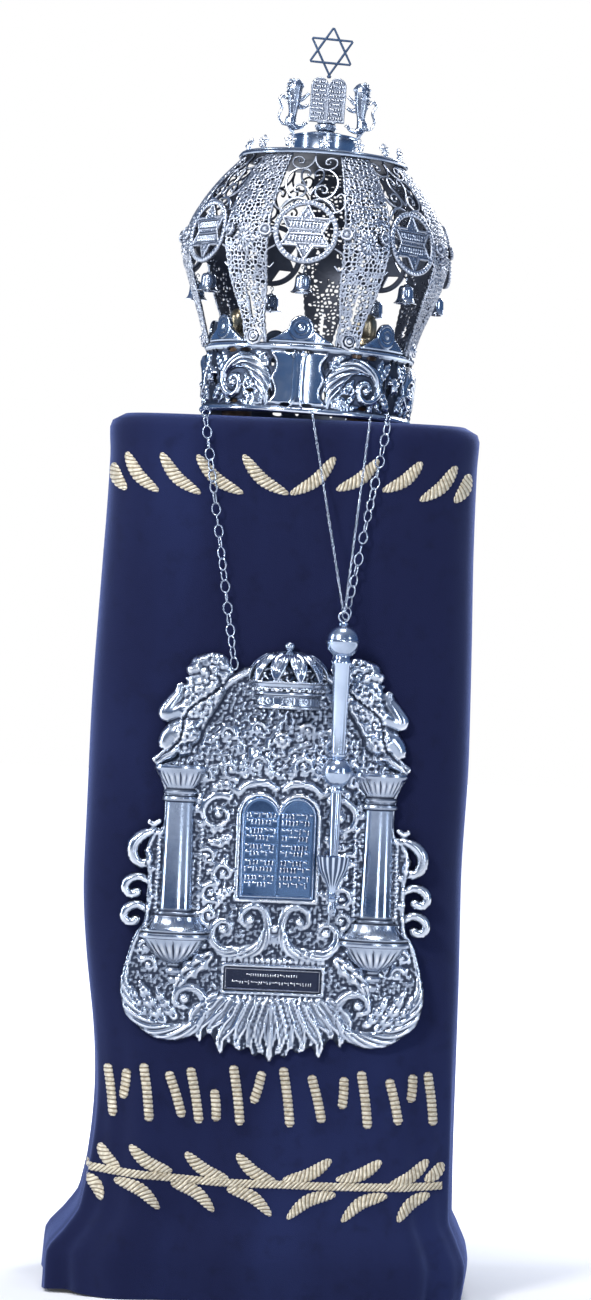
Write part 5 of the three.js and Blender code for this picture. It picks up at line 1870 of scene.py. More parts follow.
    def build(self, finishes: Finishes) -> None:
        """Make the plate and all that is fixed on it."""
        finish_piece(self.plate(), finishes.silver, Slot.SILVER, "breastplate")
        column = self.column()
        for side in Side:
            piece = copied(column, f"half_column_{side.name.lower()}",
                           self.place(side.value * self.column_at, 0))
            finish_piece(piece, finishes.silver, Slot.SILVER, f"breastplate_column_{side.name.lower()}")
            piece.data.materials.append(finishes.mirror)
            for face in piece.data.polygons:
                height = face.center.z / MM - self.z
                face.material_index = 1 if -59 < height < 41.5 else 0
        pick(column)
        bpy.ops.object.delete()
        finish_piece(self.tablets_piece(), finishes.blue_reflection_tablets, Slot.SILVER, "breastplate_tablets")
        finish_piece(self.name_plate_piece(), finishes.engraved, Slot.ENGRAVED, "breastplate_name_plate")
        crown = moved(self.half_crown(), self.place(*self.crown_at))
        finish_piece(crown, finishes.silver, Slot.SILVER, "breastplate_crown")


# The crown

# The outside of the crown, as heights above its foot and radii, and how wide a rib is at each height
CROWN_PROFILE = np.array([(66, 99.5), (90, 106.5), (118, 116.5), (138, 123), (158, 126.5), (180, 122.5),
                          (200, 113),
                          (224, 96.5), (245.5, 77)], dtype=float)
RIB_WIDTHS = np.array([(66, 25), (84, 25), (102, 32), (120, 40), (140, 45), (160, 48), (180, 47), (220, 40),
                       (246, 30)],
                      dtype=float)
# The right half of the open scroll work at a medallion: across and height of each point, and the radii
SCROLLS = [
    ([(0, 245), (1, 238), (6, 232), (14, 230.5), (20.5, 235), (20, 241), (15, 243), (10.5, 240), (11, 236.5),
      (14.5, 236.5)], [1.1, 1.1, 1.0]),
    ([(0, 204), (5, 213), (10, 221), (9.6, 228.5), (5.4, 230), (2.2, 227), (3, 223.6), (5.4, 224.6)],
     [1.2, 1.1, 0.9]),
    ([(8, 231.5), (17, 229), (23.5, 222), (24, 212), (19.5, 203.5), (11.5, 200.5), (5, 205), (5.4, 211.5),
      (11, 214),
      (15.4, 210.6), (14.2, 206.6), (11, 206.8)], [0.9, 1.3, 1.2, 0.9]),
    ([(3, 198.5), (12, 200), (21, 195), (26, 188)], [0.7, 2.0, 2.2, 0.8]),
    ([(23, 187), (31, 191), (34, 200), (29, 207), (25, 203)], [1.0, 1.1, 0.9]),
    ([(28, 154), (36, 149), (38, 140), (33, 134), (28.5, 138)], [1.0, 1.1, 0.9]),
]
# The lion on the right of the crown's tablets: each limb's across, depth, height and radius
CROWN_LION = [
    [(30, 0, 270, 1.3), (32, 0, 276, 1.6), (33.5, 0, 281, 2.6), (34.5, 0, 285, 4.2), (34, 0, 290, 3.8)],
    [(34.5, 0, 284, 4.4), (33, 0, 293, 3.2), (32.4, 0, 303, 4.6), (32.6, 0, 313, 5.6), (32, 0, 321, 5.6),
     (31, 0, 326, 4.2)],
    [(34, -1, 284, 3.4), (29, -1.4, 280.6, 2.2), (23, -1, 282, 1.5), (20.4, -1, 285.4, 1.3),
     (19.4, -1.4, 284, 1.1)],
    [(31, -1, 310, 3), (26, -1.4, 307.4, 1.9), (21.6, -1, 311, 1.4), (18.2, 0, 314.5, 1.2)],
    [(31, 1, 304, 3), (26, 1, 300.6, 1.9), (21.6, 1, 301, 1.4), (18.2, 0, 303.4, 1.2)],
    [(30, -0.4, 322, 4), (26.4, -0.5, 320.4, 2.6), (24.4, -0.5, 319, 1.5)],
    [(36, 0, 283, 1.3), (43, 0, 284, 1.1), (46, 0, 291, 1.0), (43.6, 0, 299, 1.1), (46.6, 0, 306, 1.1),
     (43.6, 0, 310.4, 1.2), (40.6, 0, 307, 1.1)],
]


def hollows(thing: bpy.types.Object, reach: int = 6, scale: float = 0.5) -> bpy.types.Object:
    """Mark how far each vertex stands proud of the mesh around it, in the mesh's units times the scale, as
    painted highlight and shade.
    """
    where = places(thing)
    edges = np.empty(len(thing.data.edges) * 2, dtype=int)
    thing.data.edges.foreach_get("vertices", edges)
    a, b = edges[0::2], edges[1::2]
    near = np.maximum(np.bincount(a, minlength=len(where)) + np.bincount(b, minlength=len(where)), 1)[:, None]
    mean = where.copy()
    for _ in range(reach):
        total = np.zeros_like(mean)
        np.add.at(total, a, mean[b])
        np.add.at(total, b, mean[a])
        mean = 0.5 * mean + 0.5 * total / near
    normals = np.empty(len(where) * 3)
    thing.data.vertices.foreach_get("normal", normals)
    mark(thing, "relief", np.clip(((where - mean) * normals.reshape(-1, 3)).sum(axis=1) / scale - 0.1, -1, 1))
    return thing


def edged(thing: bpy.types.Object) -> bpy.types.Object:
    """Mark a piece round the crown's middle with a painted highlight in front and painted shade on its sides
    and back.
    """
    where = places(thing)
    normals = np.empty(len(where) * 3)
    thing.data.vertices.foreach_get("normal", normals)
    away = where[:, :2] / np.linalg.norm(where[:, :2], axis=1)[:, None]
    front = (normals.reshape(-1, 3)[:, :2] * away).sum(axis=1)
    mark(thing, "relief", np.clip(1.4 * front - 0.85, -0.6, 0.5))
    return thing


@dataclass
class Crown:
    """A pierced band, filigree ribs, medallions and bells, and a plate that carries the finial."""

    x: float = 13.5
    z: float = 831.7
    lean: float = 1.7
    parts: int = 7
    first: float = -5.2
    radius: float = 98.5
    height: float = 66.0
    wall: float = 2.0
    crest: tuple[float, float] = (62.0, 27.0)
    medallion: tuple[float, float, float, float] = (168.0, 123.6, 9.0, 28.0)
    plate: tuple[float, float] = (81.5, 246.5)
    drum: tuple[float, float, float] = (29.5, 256.5, 17.0)
    tablets: tuple[float, float, float] = (34.0, 43.0, 287.4)
    star: tuple[float, float] = (25.0, 356.0)

    def __post_init__(self) -> None:
        """Work out the ribs' curve from the profile."""
        self.levels = np.linspace(self.height, CROWN_PROFILE[-1, 0], 100)
        self.radii = eased(self.levels, CROWN_PROFILE[:, 0], CROWN_PROFILE[:, 1])
        self.run = np.concatenate([[0], np.cumsum(np.hypot(np.diff(self.levels), np.diff(self.radii)))])
        self.rise, self.spread = np.gradient(self.levels, self.run), np.gradient(self.radii, self.run)
        self.stand = (Matrix.Translation((Vector((self.x, 0, self.z)) + SHIFT) * MM)
                      @ Matrix.Rotation(math.radians(self.lean), 4, "Y"))

    def stood(self, thing: bpy.types.Object, turn: float = 0.0, scale: float = 1.0) -> bpy.types.Object:
        """Set a piece on the crown, turned from the front towards the right by this many degrees."""
        return moved(thing, self.stand @ Matrix.Rotation(math.radians(turn), 4, "Z") @ Matrix.Scale(scale, 4))

    def on(self, across: float, z: float, out: float = 0.0) -> tuple[float, float, float]:
        """A place on the ribs' curve in front, in millimetres: how far across, how high and how far out."""
        r = float(np.interp(z, self.levels, self.radii))
        return (r + out) * math.sin(across / r), -(r + out) * math.cos(across / r), z

    def cartouche(self, sheet: Chased, centre: float) -> None:
        """Raise a plain shield with wavy sides and a double ridge down its middle."""
        u, v = np.abs(sheet.u - centre), sheet.v
        side = 23.2 + 1.8 * np.cos(2 * np.pi * (v - 33) / 24) + 2.4 * np.clip((np.abs(v - 33) - 17) / 8, 0, 1)
        edge = np.minimum(side - u, 25.5 - np.abs(v - 33))
        dish = 2.4 + 1.9 * ((u - 12) / 12) ** 2
        body = np.clip(edge / 1.6, 0, 1) ** 0.5 * np.clip(dish, 0, 4.4)
        sheet.h = np.where(edge > 0, np.maximum(sheet.h, body), sheet.h)
        for hand in (-1, 1):
            ridge = [(centre + hand * a, b) for a, b in ((5.2, 8.5), (2.5, 15), (2.2, 33), (2.5, 51),
                                                         (5.2, 57.5))]
            sheet.rod(through(ridge, 4), 1.9, 0.9, floor=2.8)
            for a, b, wide, tall in ((9, 58.4, 4.6, 1.5), (10, 8.4, 5.2, 1.6), (25.4, 47, 1.7, 4),
                                     (25.4, 19, 1.7, 4)):
                sheet.trim(np.hypot((sheet.u - centre - hand * a) / wide, (v - b) / tall) * min(wide, tall)
                           - min(wide, tall))

    def acanthus(self, sheet: Chased, centre: float, hand: int) -> None:
        """Raise the great leaf that rolls into a volute beside a cartouche, with what fills its corners."""
        def beside(points: Sequence[Sequence[float]]) -> list[tuple[float, ...]]:
            return [(centre + hand * p[0], *p[1:]) for p in points]
        sheet.fluted(beside([(29, 9, 2), (31, 24, 6.5), (39, 39, 9), (53, 48.5, 8.5), (68, 47, 7.5),
                             (79, 39, 6.5), (82, 27, 5.2),
                             (75, 17.5, 4.4), (65, 17, 3.8), (59.5, 24, 3.2), (61.5, 32, 2.8),
                             (68.5, 33.5, 2.5), (72, 28.5, 2.2)]), 15.0 * hand, 1.6)
        sheet.dome(centre + hand * 67.5, 26.8, 3.4, 0.9, floor=2.0)
        for points, width in (
                ([(31, 12), (42, 19), (54, 36)], 5.2), ([(32, 10), (45, 12), (56, 22)], 4.4),
                ([(34, 9.5), (47, 8.6), (60, 11)], 3.2),
                ([(83, 36), (89, 46), (96, 55)], 5), ([(84, 27), (90, 20), (97, 10)], 5),
                ([(80, 44), (84, 52), (86, 58)], 3.6),
                ([(80, 17), (84, 12), (88, 8.5)], 3.4), ([(30, 44), (36, 53), (44, 57)], 4)):
            sheet.leaf(through(beside([*points]), 4), width, width * 0.5, 4, floor=1.2)
        for a, b, reach, start, turn in ((50, 27, 6, 200, 1), (92, 14, 4.4, 90, -1), (74, 9.6, 3.2, 60, 1)):
            sheet.volute((centre + hand * a, b), reach, start if hand > 0 else 180 - start, turn * hand, 1.5,
                         frill=0, floor=1.4)
        for a, b, wide, tall in ((55, 58.6, 7, 1.7), (73, 58.2, 6.5, 2.1), (66, 10, 5.2, 1.9),
                                 (97, 30, 3.0, 6),
                                 (90, 35, 2.2, 4.2), (46, 20, 4.6, 1.7), (99, 57.6, 2.6, 1.8),
                                 (86, 13, 2.0, 3.4)):
            sheet.trim(np.hypot((sheet.u - centre - hand * a) / wide, (sheet.v - b) / tall) * min(wide, tall)
                       - min(wide, tall))

    def crested(self, sheet: Chased, centre: float) -> np.ndarray:
        """Raise a crest with a round ringed head, and return how far each place is inside its outline."""
        wide, tall = self.crest
        r = 11.5
        middle = self.height + tall - r - 0.8
        around = np.hypot(sheet.u - centre, sheet.v - middle)
        u = np.abs(sheet.u - centre)
        slope = self.height + np.interp(u, [0, 9, 17, 25, wide / 2, wide / 2 + 0.5],
                                        [16, 15, 10, 4.5, 1.5, -9])
        for ring, thick in ((10.2, 1.3), (5.6, 0.9)):
            sheet.h = np.where(np.abs(around - ring) < thick, np.maximum(
                sheet.h, 0.5 + 1.5 * np.sqrt(np.clip(1 - ((around - ring) / thick) ** 2, 0, 1))), sheet.h)
        for k in range(12):
            turn = 2 * math.pi * k / 12
            sheet.dome(centre + 7.9 * math.cos(turn), middle + 7.9 * math.sin(turn), 1.3, 0.9, floor=0.3)
        sheet.dome(centre, middle, 3.2, 0.7, floor=0.3)
        for hand in (-1, 1):
            for points, width in (([(28, 2.5), (20, 5.5), (12.5, 11)], 3.6),
                                  ([(22, 2), (13, 4), (6, 3.4)], 2.6)):
                sheet.leaf(through([(centre + hand * a, self.height + b) for a, b in points], 4), width, 1.7,
                           4, floor=0.2)
        edge = np.maximum(r - around, np.minimum(slope - sheet.v, 9))
        sheet.h = np.where((sheet.v > self.height) & (edge > 0), np.maximum(sheet.h, 1.5), sheet.h)
        sheet.h = np.where((sheet.v > self.height + 1) & (edge > 0) & (edge < 1.8), np.maximum(sheet.h, 1.0),
                           sheet.h)
        return edge

    def band(self) -> bpy.types.Object:
        """The band: three cartouches between acanthus leaves, rolled rims, and seven crests above."""
        degree = math.radians(1) * self.radius
        sheet = Chased(-180 * degree, 180 * degree, 0, self.height + self.crest[1], 1.08)
        # The low ground gets painted shade.
        sheet.low = 1.5
        for k in (-1, 0, 1):
            self.cartouche(sheet, 120 * k * degree)
            for hand in (-1, 1):
                self.acanthus(sheet, 120 * k * degree, hand)
        for k in (-3, -1, 1, 3):
            u = 60 * k * degree
            for petal in range(5):
                turn = math.radians(90 + 72 * petal)
                sheet.dome(u + 4.6 * math.cos(turn), 35 + 4.6 * math.sin(turn), 3.3, 0.8, floor=2.2)
                sheet.leaf([(u, 35), (u + 10 * math.cos(turn + 0.6), 35 + 10 * math.sin(turn + 0.6))], 1.8,
                           1.4, 2, floor=1.2)
            sheet.dome(u, 35, 2.6, 0.9, floor=3.6)
        edge = np.full_like(sheet.h, -9.0)
        for k in range(-3, 4):
            edge = np.maximum(edge, self.crested(sheet, 360 / self.parts * k * degree))
        sheet.trim(np.where(sheet.v > self.height - 0.6, np.maximum(edge, self.height - sheet.v), 9.0))
        low, high = -180 * degree, 180 * degree
        for v, r, tall in ((3.2, 3.2, 1.05), (6.9, 1.0, 1.0), (self.height - 3, 2.7, 0.96),
                           (self.height - 6.4, 1.0, 1.0)):
            sheet.rod([(low, v), (high, v)], r, tall)
        sheet.soften(1)
        radius, start = self.radius, math.radians(self.first)

        def wrap(u: np.ndarray, v: np.ndarray, h: np.ndarray) -> np.ndarray:
            """Roll the sheet into a ring."""
            turn = start + u / radius
            return np.stack([(radius + h) * np.sin(turn), -(radius + h) * np.cos(turn), v], axis=-1)

        return self.stood(sheet.made("pierced_band", wrap, self.wall, endless=True))

    def rib(self, index: int) -> bpy.types.Object:
        """A filigree rib: pierced lace with a rolled edge, a slit, a burst of leaves and a rosette."""
        lean = {0: 2.4, 6: -2.0}.get(index, 0.0)
        sheet = Chased(-26, 26, 0, float(self.run[-1]), 0.86)
        u, v = sheet.u, sheet.v
        z = np.interp(v, self.run, self.levels)
        half = eased(z, RIB_WIDTHS[:, 0], RIB_WIDTHS[:, 1]) / 2 - 0.9 + 0.8 * np.abs(np.sin(np.pi * v / 6.5))
        edge = half - np.abs(u)
        first, second, who = sheet.cells(4.3, 30 + index)
        web = (second - first) / 2
        sheet.h = np.where(web < 0.75, 0.4 + 1.4 * np.sqrt(np.clip(1 - (web / 0.75) ** 2, 0, 1)), 0)
        sheet.h = np.maximum(sheet.h, 1.9 * np.sqrt(np.clip(1 - (first / 1.2) ** 2, 0, 1)) * (who > 0.6))
        # The low ground gets painted shade.
        sheet.low = 0.7
        burst = float(np.interp(160, self.levels, self.run))
        for k in range(9):
            turn = 2 * math.pi * k / 9
            tip = (13 * math.cos(turn), burst + 15 * math.sin(turn))
            sheet.leaf([(2 * math.cos(turn), burst + 2 * math.sin(turn)), tip], 3.6, 3.2, 2, floor=1.4)
        sheet.dome(0, burst, 3.0, 0.9, floor=1.5)
        for hand in (-1, 1):
            for level, share, reach, way in ((98, 0.55, 4.6, 1), (112, 0.5, 5.4, -1), (128, 0.55, 6, 1),
                                             (184, 0.52, 6.2, -1),
                                             (202, 0.5, 6, 1), (220, 0.5, 5.4, -1), (236, 0.5, 4.4, 1)):
                at = float(np.interp(level, self.levels, self.run))
                width = float(np.interp(level, RIB_WIDTHS[:, 0], RIB_WIDTHS[:, 1])) / 2
                sheet.volute((hand * share * width, at), reach, 90 - 40 * hand, way * hand, 1.25, turns=1.1,
                             frill=2, floor=0.5)
            sheet.rod([(hand * 2.3, 22), (hand * 3.0, 40), (hand * 0.6, 56)], [0.8, 1.0, 0.7], 0.9, floor=0.6)
        sheet.h = np.where((edge < 2.1) & (edge > 0), 0.3 + 1.4
                           * np.sqrt(np.clip(1 - ((edge - 1.0) / 1.1) ** 2, 0, 1)), sheet.h)
        holes = np.where((who < 0.6) & (edge > 1.6) & (sheet.h < 1.6), 0.5 - web, 9.0)
        slit = np.hypot(u / 1.5, (v - 36) / 15) * 1.5 - 1.5
        sheet.trim(np.minimum(edge, np.minimum(holes, slit)))

        def wrap(u: np.ndarray, v: np.ndarray, h: np.ndarray) -> np.ndarray:
            """Lay the sheet along the crown's curve."""
            r, level = np.interp(v, self.run, self.radii), np.interp(v, self.run, self.levels)
            turn = math.radians(lean) * (level - self.height) / 180 + u / r
            r, level = r + h * np.interp(v, self.run,
                                         self.rise), level - h * np.interp(v, self.run, self.spread)
            return np.stack([r * np.sin(turn), -r * np.cos(turn), level], axis=-1)

        lace = sheet.made("lace", wrap, 1.1)
        foot = spun("rosette", [(0, -1), (8.4, -1), (8.8, 0), (8.4, 1.4), (7.2, 1.9), (6.2, 1.2), (5.2, 1.0),
                                (4.6, 2.2), (3.4, 2.6),
                                (2.8, 1.8), (2.2, 3.2), (1.2, 4.2), (0, 4.4)], 24)
        where = places(foot)
        turn = np.arctan2(where[:, 1], where[:, 0])
        lobes = 1 - 0.09 * np.abs(np.sin(4 * turn)) * (np.hypot(where[:, 0], where[:, 1]) > 5.6)
        put(foot, where * np.stack([lobes, lobes, np.ones(len(where))], axis=-1))
        hollows(foot, 4, 0.5)
        moved(foot, Matrix.Translation(Vector((0, -self.radius - 4.2, 71))
                                       * MM) @ Matrix.Rotation(math.pi / 2, 4, "X")
              @ Matrix.Scale(MM, 4))
        return self.stood(joined(f"filigree_rib_{index + 1}", [lace, foot]),
                          self.first + 360 / self.parts * (index + 0.5))

    def disc(self) -> bpy.types.Object:
        """A medallion's beaded ring with a solid hexagram, rows of strokes and a rosette on either side."""
        z, out, tilt, ring = self.medallion
        sheet = Chased(-46, 46, -32, 32, 0.78)
        u, v = sheet.u, sheet.v
        around, turn = np.hypot(u, v), np.arctan2(v, u)
        first, _, who = sheet.cells(2.4, 50)
        sheet.h = 0.9 * np.sqrt(np.clip(1 - (first / 1.3) ** 2, 0, 1)) * (0.5 + 0.5 * who)
        normals = [math.radians(a) for a in (90, 210, 330)]
        up = np.min([ring / 2 + 0.2 - (u * math.cos(a) - v * math.sin(a)) for a in normals], axis=0)
        down = np.min([ring / 2 + 0.2 - (u * math.cos(a) + v * math.sin(a)) for a in normals], axis=0)
        star = np.maximum(up, down)
        sheet.h = np.where((star > 0) & (star < 1.9), 1.0 + 0.7 * np.sin(np.pi * np.clip(star / 1.9, 0, 1)),
                           sheet.h)
        for row in (6.6, -6.6):
            sheet.h = np.where((np.abs(v - row) < 4.0) & (np.abs(u) < 17), 0.1, sheet.h)
            for edge in (-4.4, 4.4):
                sheet.rod([(-16.5, row + edge), (16.5, row + edge)], 0.7, 1.0, floor=0.7)
            dice = np.random.default_rng(int(60 + row))
            for x in np.arange(-15, 15.5, 3.1):
                sheet.rod([(x, row - 2.2), (x + dice.random(), row + 2.2)], 0.75, 1.0, floor=0.5)
                sheet.rod([(x, row + 2.0), (x + 1.7, row + 2.0)], 0.7, 1.0, floor=0.5)
        rim = 2.5 - np.abs(around - ring)
        beads = 0.75 + 0.25 * np.cos(44 * turn)
        sheet.h = np.where(rim > 0, 0.4 + 2.0 * np.sqrt(np.clip(1 - ((around - ring) / 2.5) ** 2, 0, 1))
                           * beads, sheet.h)
        room = np.maximum(star, rim)
        for hand in (-1, 1):
            far = np.hypot(u - hand * 38.4, v)
            petals = 6.4 - 0.5 * np.abs(np.sin(4 * np.arctan2(v, u - hand * 38.4))) - far
            sheet.h = np.where(petals > 0, 0.5 + 1.7 * np.exp(-(((far - 4.9) / 1.1) ** 2)) + 2.4
                               * np.exp(-((far / 1.9) ** 2)), sheet.h)
            room = np.maximum(room, petals)
            for neck in (-1.9, 1.9):
                sheet.rod([(hand * 28, neck * 0.7), (hand * 35, neck)], 1.0, 0.9, floor=0.4)
            room = np.maximum(room, np.minimum(2.9 - np.abs(v), 5 - np.abs(u * hand - 32)))
        sheet.trim(room)
        disc = sheet.made("disc", lambda u, v, h: np.stack([u, -h, v], axis=-1), 2.0)
        return moved(disc, Matrix.Translation(Vector((0, -out, z))
                                              * MM) @ Matrix.Rotation(math.radians(-tilt), 4, "X"))

    def medallion_piece(self) -> bpy.types.Object:
        """A medallion with the open scroll work over and under it, facing the front, in metres."""
        wires = []
        for path, radii in SCROLLS:
            for hand in (-1, 1):
                line = [self.on(hand * a, z, 0.6 + 0.2 * hand) for a, z in through(path, 5)]
                sizes = np.interp(np.linspace(0, 1, len(line)), np.linspace(0, 1, len(radii)), radii)
                wires.append(wire("scroll", line, list(sizes), 6))
        for a, z in ((14.5, 238.6), (11, 209), (0, 247)):
            for hand in ((-1, 1) if a else (1,)):
                wires.append(wire("bead", [self.on(hand * a - 0.8, z, 0.8), self.on(hand * a, z, 1.2),
                                           self.on(hand * a + 0.8, z, 0.8)],
                                  [1.2, 2.2, 1.2], 8))
        work = edged(moved(joined("scroll_work", wires), Matrix.Scale(MM, 4)))
        return joined("medallion", [work, self.disc()])

    @staticmethod
    def bell() -> bpy.types.Object:
        """A small bell with a flared lip, a clapper and the hook that it hangs on, in millimetres."""
        outside = curved([(2.6, 17.2), (5.4, 16.6), (6.9, 14), (7.3, 9), (7.8, 5), (9.2, 2.0), (11, 0.4)])
        inside = curved([(10.6, 0), (8.4, 1.6), (7.0, 4.6), (6.4, 9), (5.6, 13.6), (0, 15.4)])
        cup = spun("cup", [(0, 18.6), (2, 18.4), (2.6, 17.2), *outside[1:], *inside], 28)
        # The lip is painted lighter, a painted highlight.
        mark(cup, "relief", np.where(places(cup)[:, 2] < 1.0, 0.4, 0))
        hook = wire("hook", [(0, 0, 18), (0, 0, 20.5), (1.8, 0, 22), (1.9, 0, 24), (0, 0, 25.6),
                             (-1.9, 0, 24), (-1.2, 0, 22.4)], 0.55, 6)
        clapper = wire("clapper", [(0, 0, 15), (0, 0, 4), (0, 0, 1.2), (0, 0, -0.8)], [0.4, 0.5, 1.8, 0.6], 8)
        return joined("bell", [cup, hook, clapper])

    @staticmethod
    def flower() -> bpy.types.Object:
        """A small cast flower on a short stalk that faces the front, in millimetres."""
        parts = [wire("stalk", [(0, 0, 0), (0, -1, 3), (0, -1, 7)], [2.2, 1.0, 1.2], 8),
                 wire("eye", [(0, -1.2, 8), (0, -2.8, 8), (0, -3.6, 8)], [1.2, 2.0, 0.8], 8)]
        for k in range(5):
            turn = math.radians(90 + 72 * k)
            c, s = math.cos(turn), math.sin(turn)
            parts.append(wire("petal", [(1.4 * c, -1, 8 + 1.4 * s), (4.2 * c, -1.8, 8 + 4.2 * s),
                                        (6.2 * c, -0.8, 8 + 6.2 * s)],
                              [1.0, 2.3, 1.1], 8))
        return hollows(joined("flower", parts), 4, 0.5)

    def top_plate(self) -> bpy.types.Object:
        """The plate over the ribs: a rolled rim, a low dome, and cast flowers round it, in millimetres."""
        r, low = self.plate
        rise = self.drum[1] - 0.35
        plate = spun("plate", [(0, low + 0.6), (r - 6, low), (r - 2, low), (r - 0.4, low + 0.8),
                               (r, low + 2.0), (r - 0.5, low + 3.1),
                               (r - 1.8, low + 3.5), (r - 1.6, low + 4.6), (r - 2.6, low + 5.6),
                               (r - 5, low + 5.4), (r - 8, low + 5.9),
                               (40, rise - 2.2), (34, rise - 1.0), (31.8, rise - 0.2), (31, rise), (0, rise)],
                               72)
        level = places(plate)[:, 2] - low
        # Painted shade in the groove under the rolled rim and along the plate's underside.
        mark(plate, "relief", np.where((np.abs(level - 3.5) < 0.3) | (level < 0.7), -0.6, 0.0))
        flower = self.flower()
        flowers = []
        for k in range(14):
            place = (Matrix.Rotation(2 * math.pi * k / 14, 4, "Z") @ Matrix.Translation((0, 7 - r, low + 4.6))
                     @ Matrix.Rotation(math.radians(-14 + 8 * math.sin(2.1 * k)), 4, "X"))
            flowers.append(copied(flower, "flower", place))
        pick(flower)
        bpy.ops.object.delete()
        return joined("top_plate", [plate, *flowers])

    def drum_piece(self) -> bpy.types.Object:
        """The drum with its stepped dome cap, in millimetres."""
        r, low, tall = self.drum
        top = low + tall
        return spun("stepped_drum", [
            (0, low), (r + 2, low), (r + 2.2, low + 0.8), (r + 1.6, low + 2), (r, low + 2.6),
            (r - 0.3, low + 5), (r - 0.3, top - 4.6),
            (r, top - 2.2), (r + 1.2, top - 1.4), (r + 1.2, top - 0.2), (r - 0.6, top + 0.3), (22, top + 0.8),
            (20, top - 0.1),
            (18.6, top + 0.6), (18, top + 2), (16, top + 3), (12.6, top + 3.4), (12, top + 3.0),
            (0, top - 0.4)], 64)

    @staticmethod
    def vase() -> bpy.types.Object:
        """The vase under the tablets, its bowl worked in lobes, in millimetres."""
        low = 274.3
        vase = spun("lobed_vase", [
            (0, low), (9.4, low), (9.6, low + 0.8), (8.0, low + 1.8), (6.6, low + 2.6), (7.4, low + 3.8),
            (9.8, low + 5.6), (11, low + 7.8),
            (10.6, low + 9.6), (8.8, low + 10.6), (8.2, low + 11.2), (9.2, low + 11.9), (8.9, low + 12.7),
            (0, low + 12.7)], 64)
        where = places(vase)
        turn = np.arctan2(where[:, 1], where[:, 0])
        bowl = np.clip(1 - np.abs(where[:, 2] - low - 7) / 3.8, 0, 1)
        scale = 1 - 0.09 * bowl * (1 - np.abs(np.sin(5 * turn)) ** 0.6)
        put(vase, where * np.stack([scale, scale, np.ones(len(where))], axis=-1))
        return hollows(vase, 6, 0.3)

    def tablets_piece(self) -> bpy.types.Object:
        """The pair of tablets at the top, with rows of small strokes, in metres."""
        width, height, low = self.tablets
        sheet = Chased(-width / 2 - 0.5, width / 2 + 0.5, -0.5, height + 0.5, 0.5)
        sheet.trim(sheet.outline(tablet_outline(width, height)))
        edge = sheet.room
        sheet.h += 0.9 * np.exp(-(((edge - 0.9) / 0.7) ** 2))
        for hand, seed in ((-1, 70), (1, 71)):
            rows = [(3.6 + 4.3 * k, 1.7) for k in range(9)]
            strokes(sheet, rows, -15 if hand < 0 else 1.6, -1.6 if hand < 0 else 15, seed)
        sheet.rod([(0, 0), (0, height - 6)], 0.7, 0.9, floor=0.2)
        return sheet.made("crown_tablets_pair", lambda u, v, h: np.stack([u, -2.0 - h, v + low], axis=-1),
                          4.0)

    def star_piece(self) -> bpy.types.Object:
        """The open hexagram of dark bars on its bead, in millimetres."""
        reach, z = self.star
        bars = []
        for start, out in ((90, -0.3), (-90, 0.3)):
            tips = [Vector((math.cos(math.radians(start + 120 * k)), 0,
                            math.sin(math.radians(start + 120 * k)))) * (reach - 2.2)
                    for k in range(4)]
            corners = [tuple(a.lerp(b, share) + Vector((0, out, 0)))
                       for a, b in zip(tips, tips[1:]) for share in (0.03, 0.5, 0.97)]
            bars.append(wire("triangle", corners, 1.2, 8, endless=True))
        bars.append(wire("bead", [(0, 0, -reach + 2.4), (0, 0, -reach + 0.6), (0, 0, -reach - 1.0)],
                         [1.2, 2.3, 1.4], 12))
        star = joined("hexagram", bars)
        mark(star, "relief", np.zeros(len(star.data.vertices)))
        return moved(star, Matrix.Translation((0, 0, z)) @ Matrix.Rotation(math.radians(1.5), 4, "Y"))

    def lion(self, side: Side) -> bpy.types.Object:
        """A slender rampant lion with a curly mane that holds the tablets, in millimetres."""
        parts = []
        for limb in CROWN_LION:
            path = through(limb, 5)
            parts.append(wire("limb", [(side.value * x, y, z) for x, y, z, _ in path],
                              [1.3 * r for *_, r in path], 10))
        dice = np.random.default_rng(80 + side.value)
        for k in range(46):
            level, turn = 303 + 24 * (k / 46) + dice.random(), 2.4 * k
            reach = float(np.interp(level, [303, 312, 321, 328], [4.6, 6.2, 6.4, 3.2]))
            x, y = 32.8 + reach * math.cos(turn), reach * 0.9 * math.sin(turn)
            if x > 27.4 or level < 317:
                parts.append(wire("curl", [(side.value * x, y, level - 1.2),
                                           (side.value * (x + 0.5), y, level),
                                           (side.value * x, y, level + 1.2)],
                                  [0.9, 2.1, 0.9], 6))
        for x, y in ((20, -1.8), (18.8, -0.6), (20.4, 0.2)):
            parts.append(wire("toe", [(side.value * x, y, 285.6), (side.value * (x - 1.2), y, 284.4)],
                              [0.8, 0.6], 6))
        body = joined(f"tablet_lion_{side.name.lower()}", parts)
        apply_modifier(body, "REMESH", mode="VOXEL", voxel_size=0.5)
        apply_modifier(body, "SMOOTH", iterations=2)
        smooth(body)
        return hollows(body, 8, 0.35)

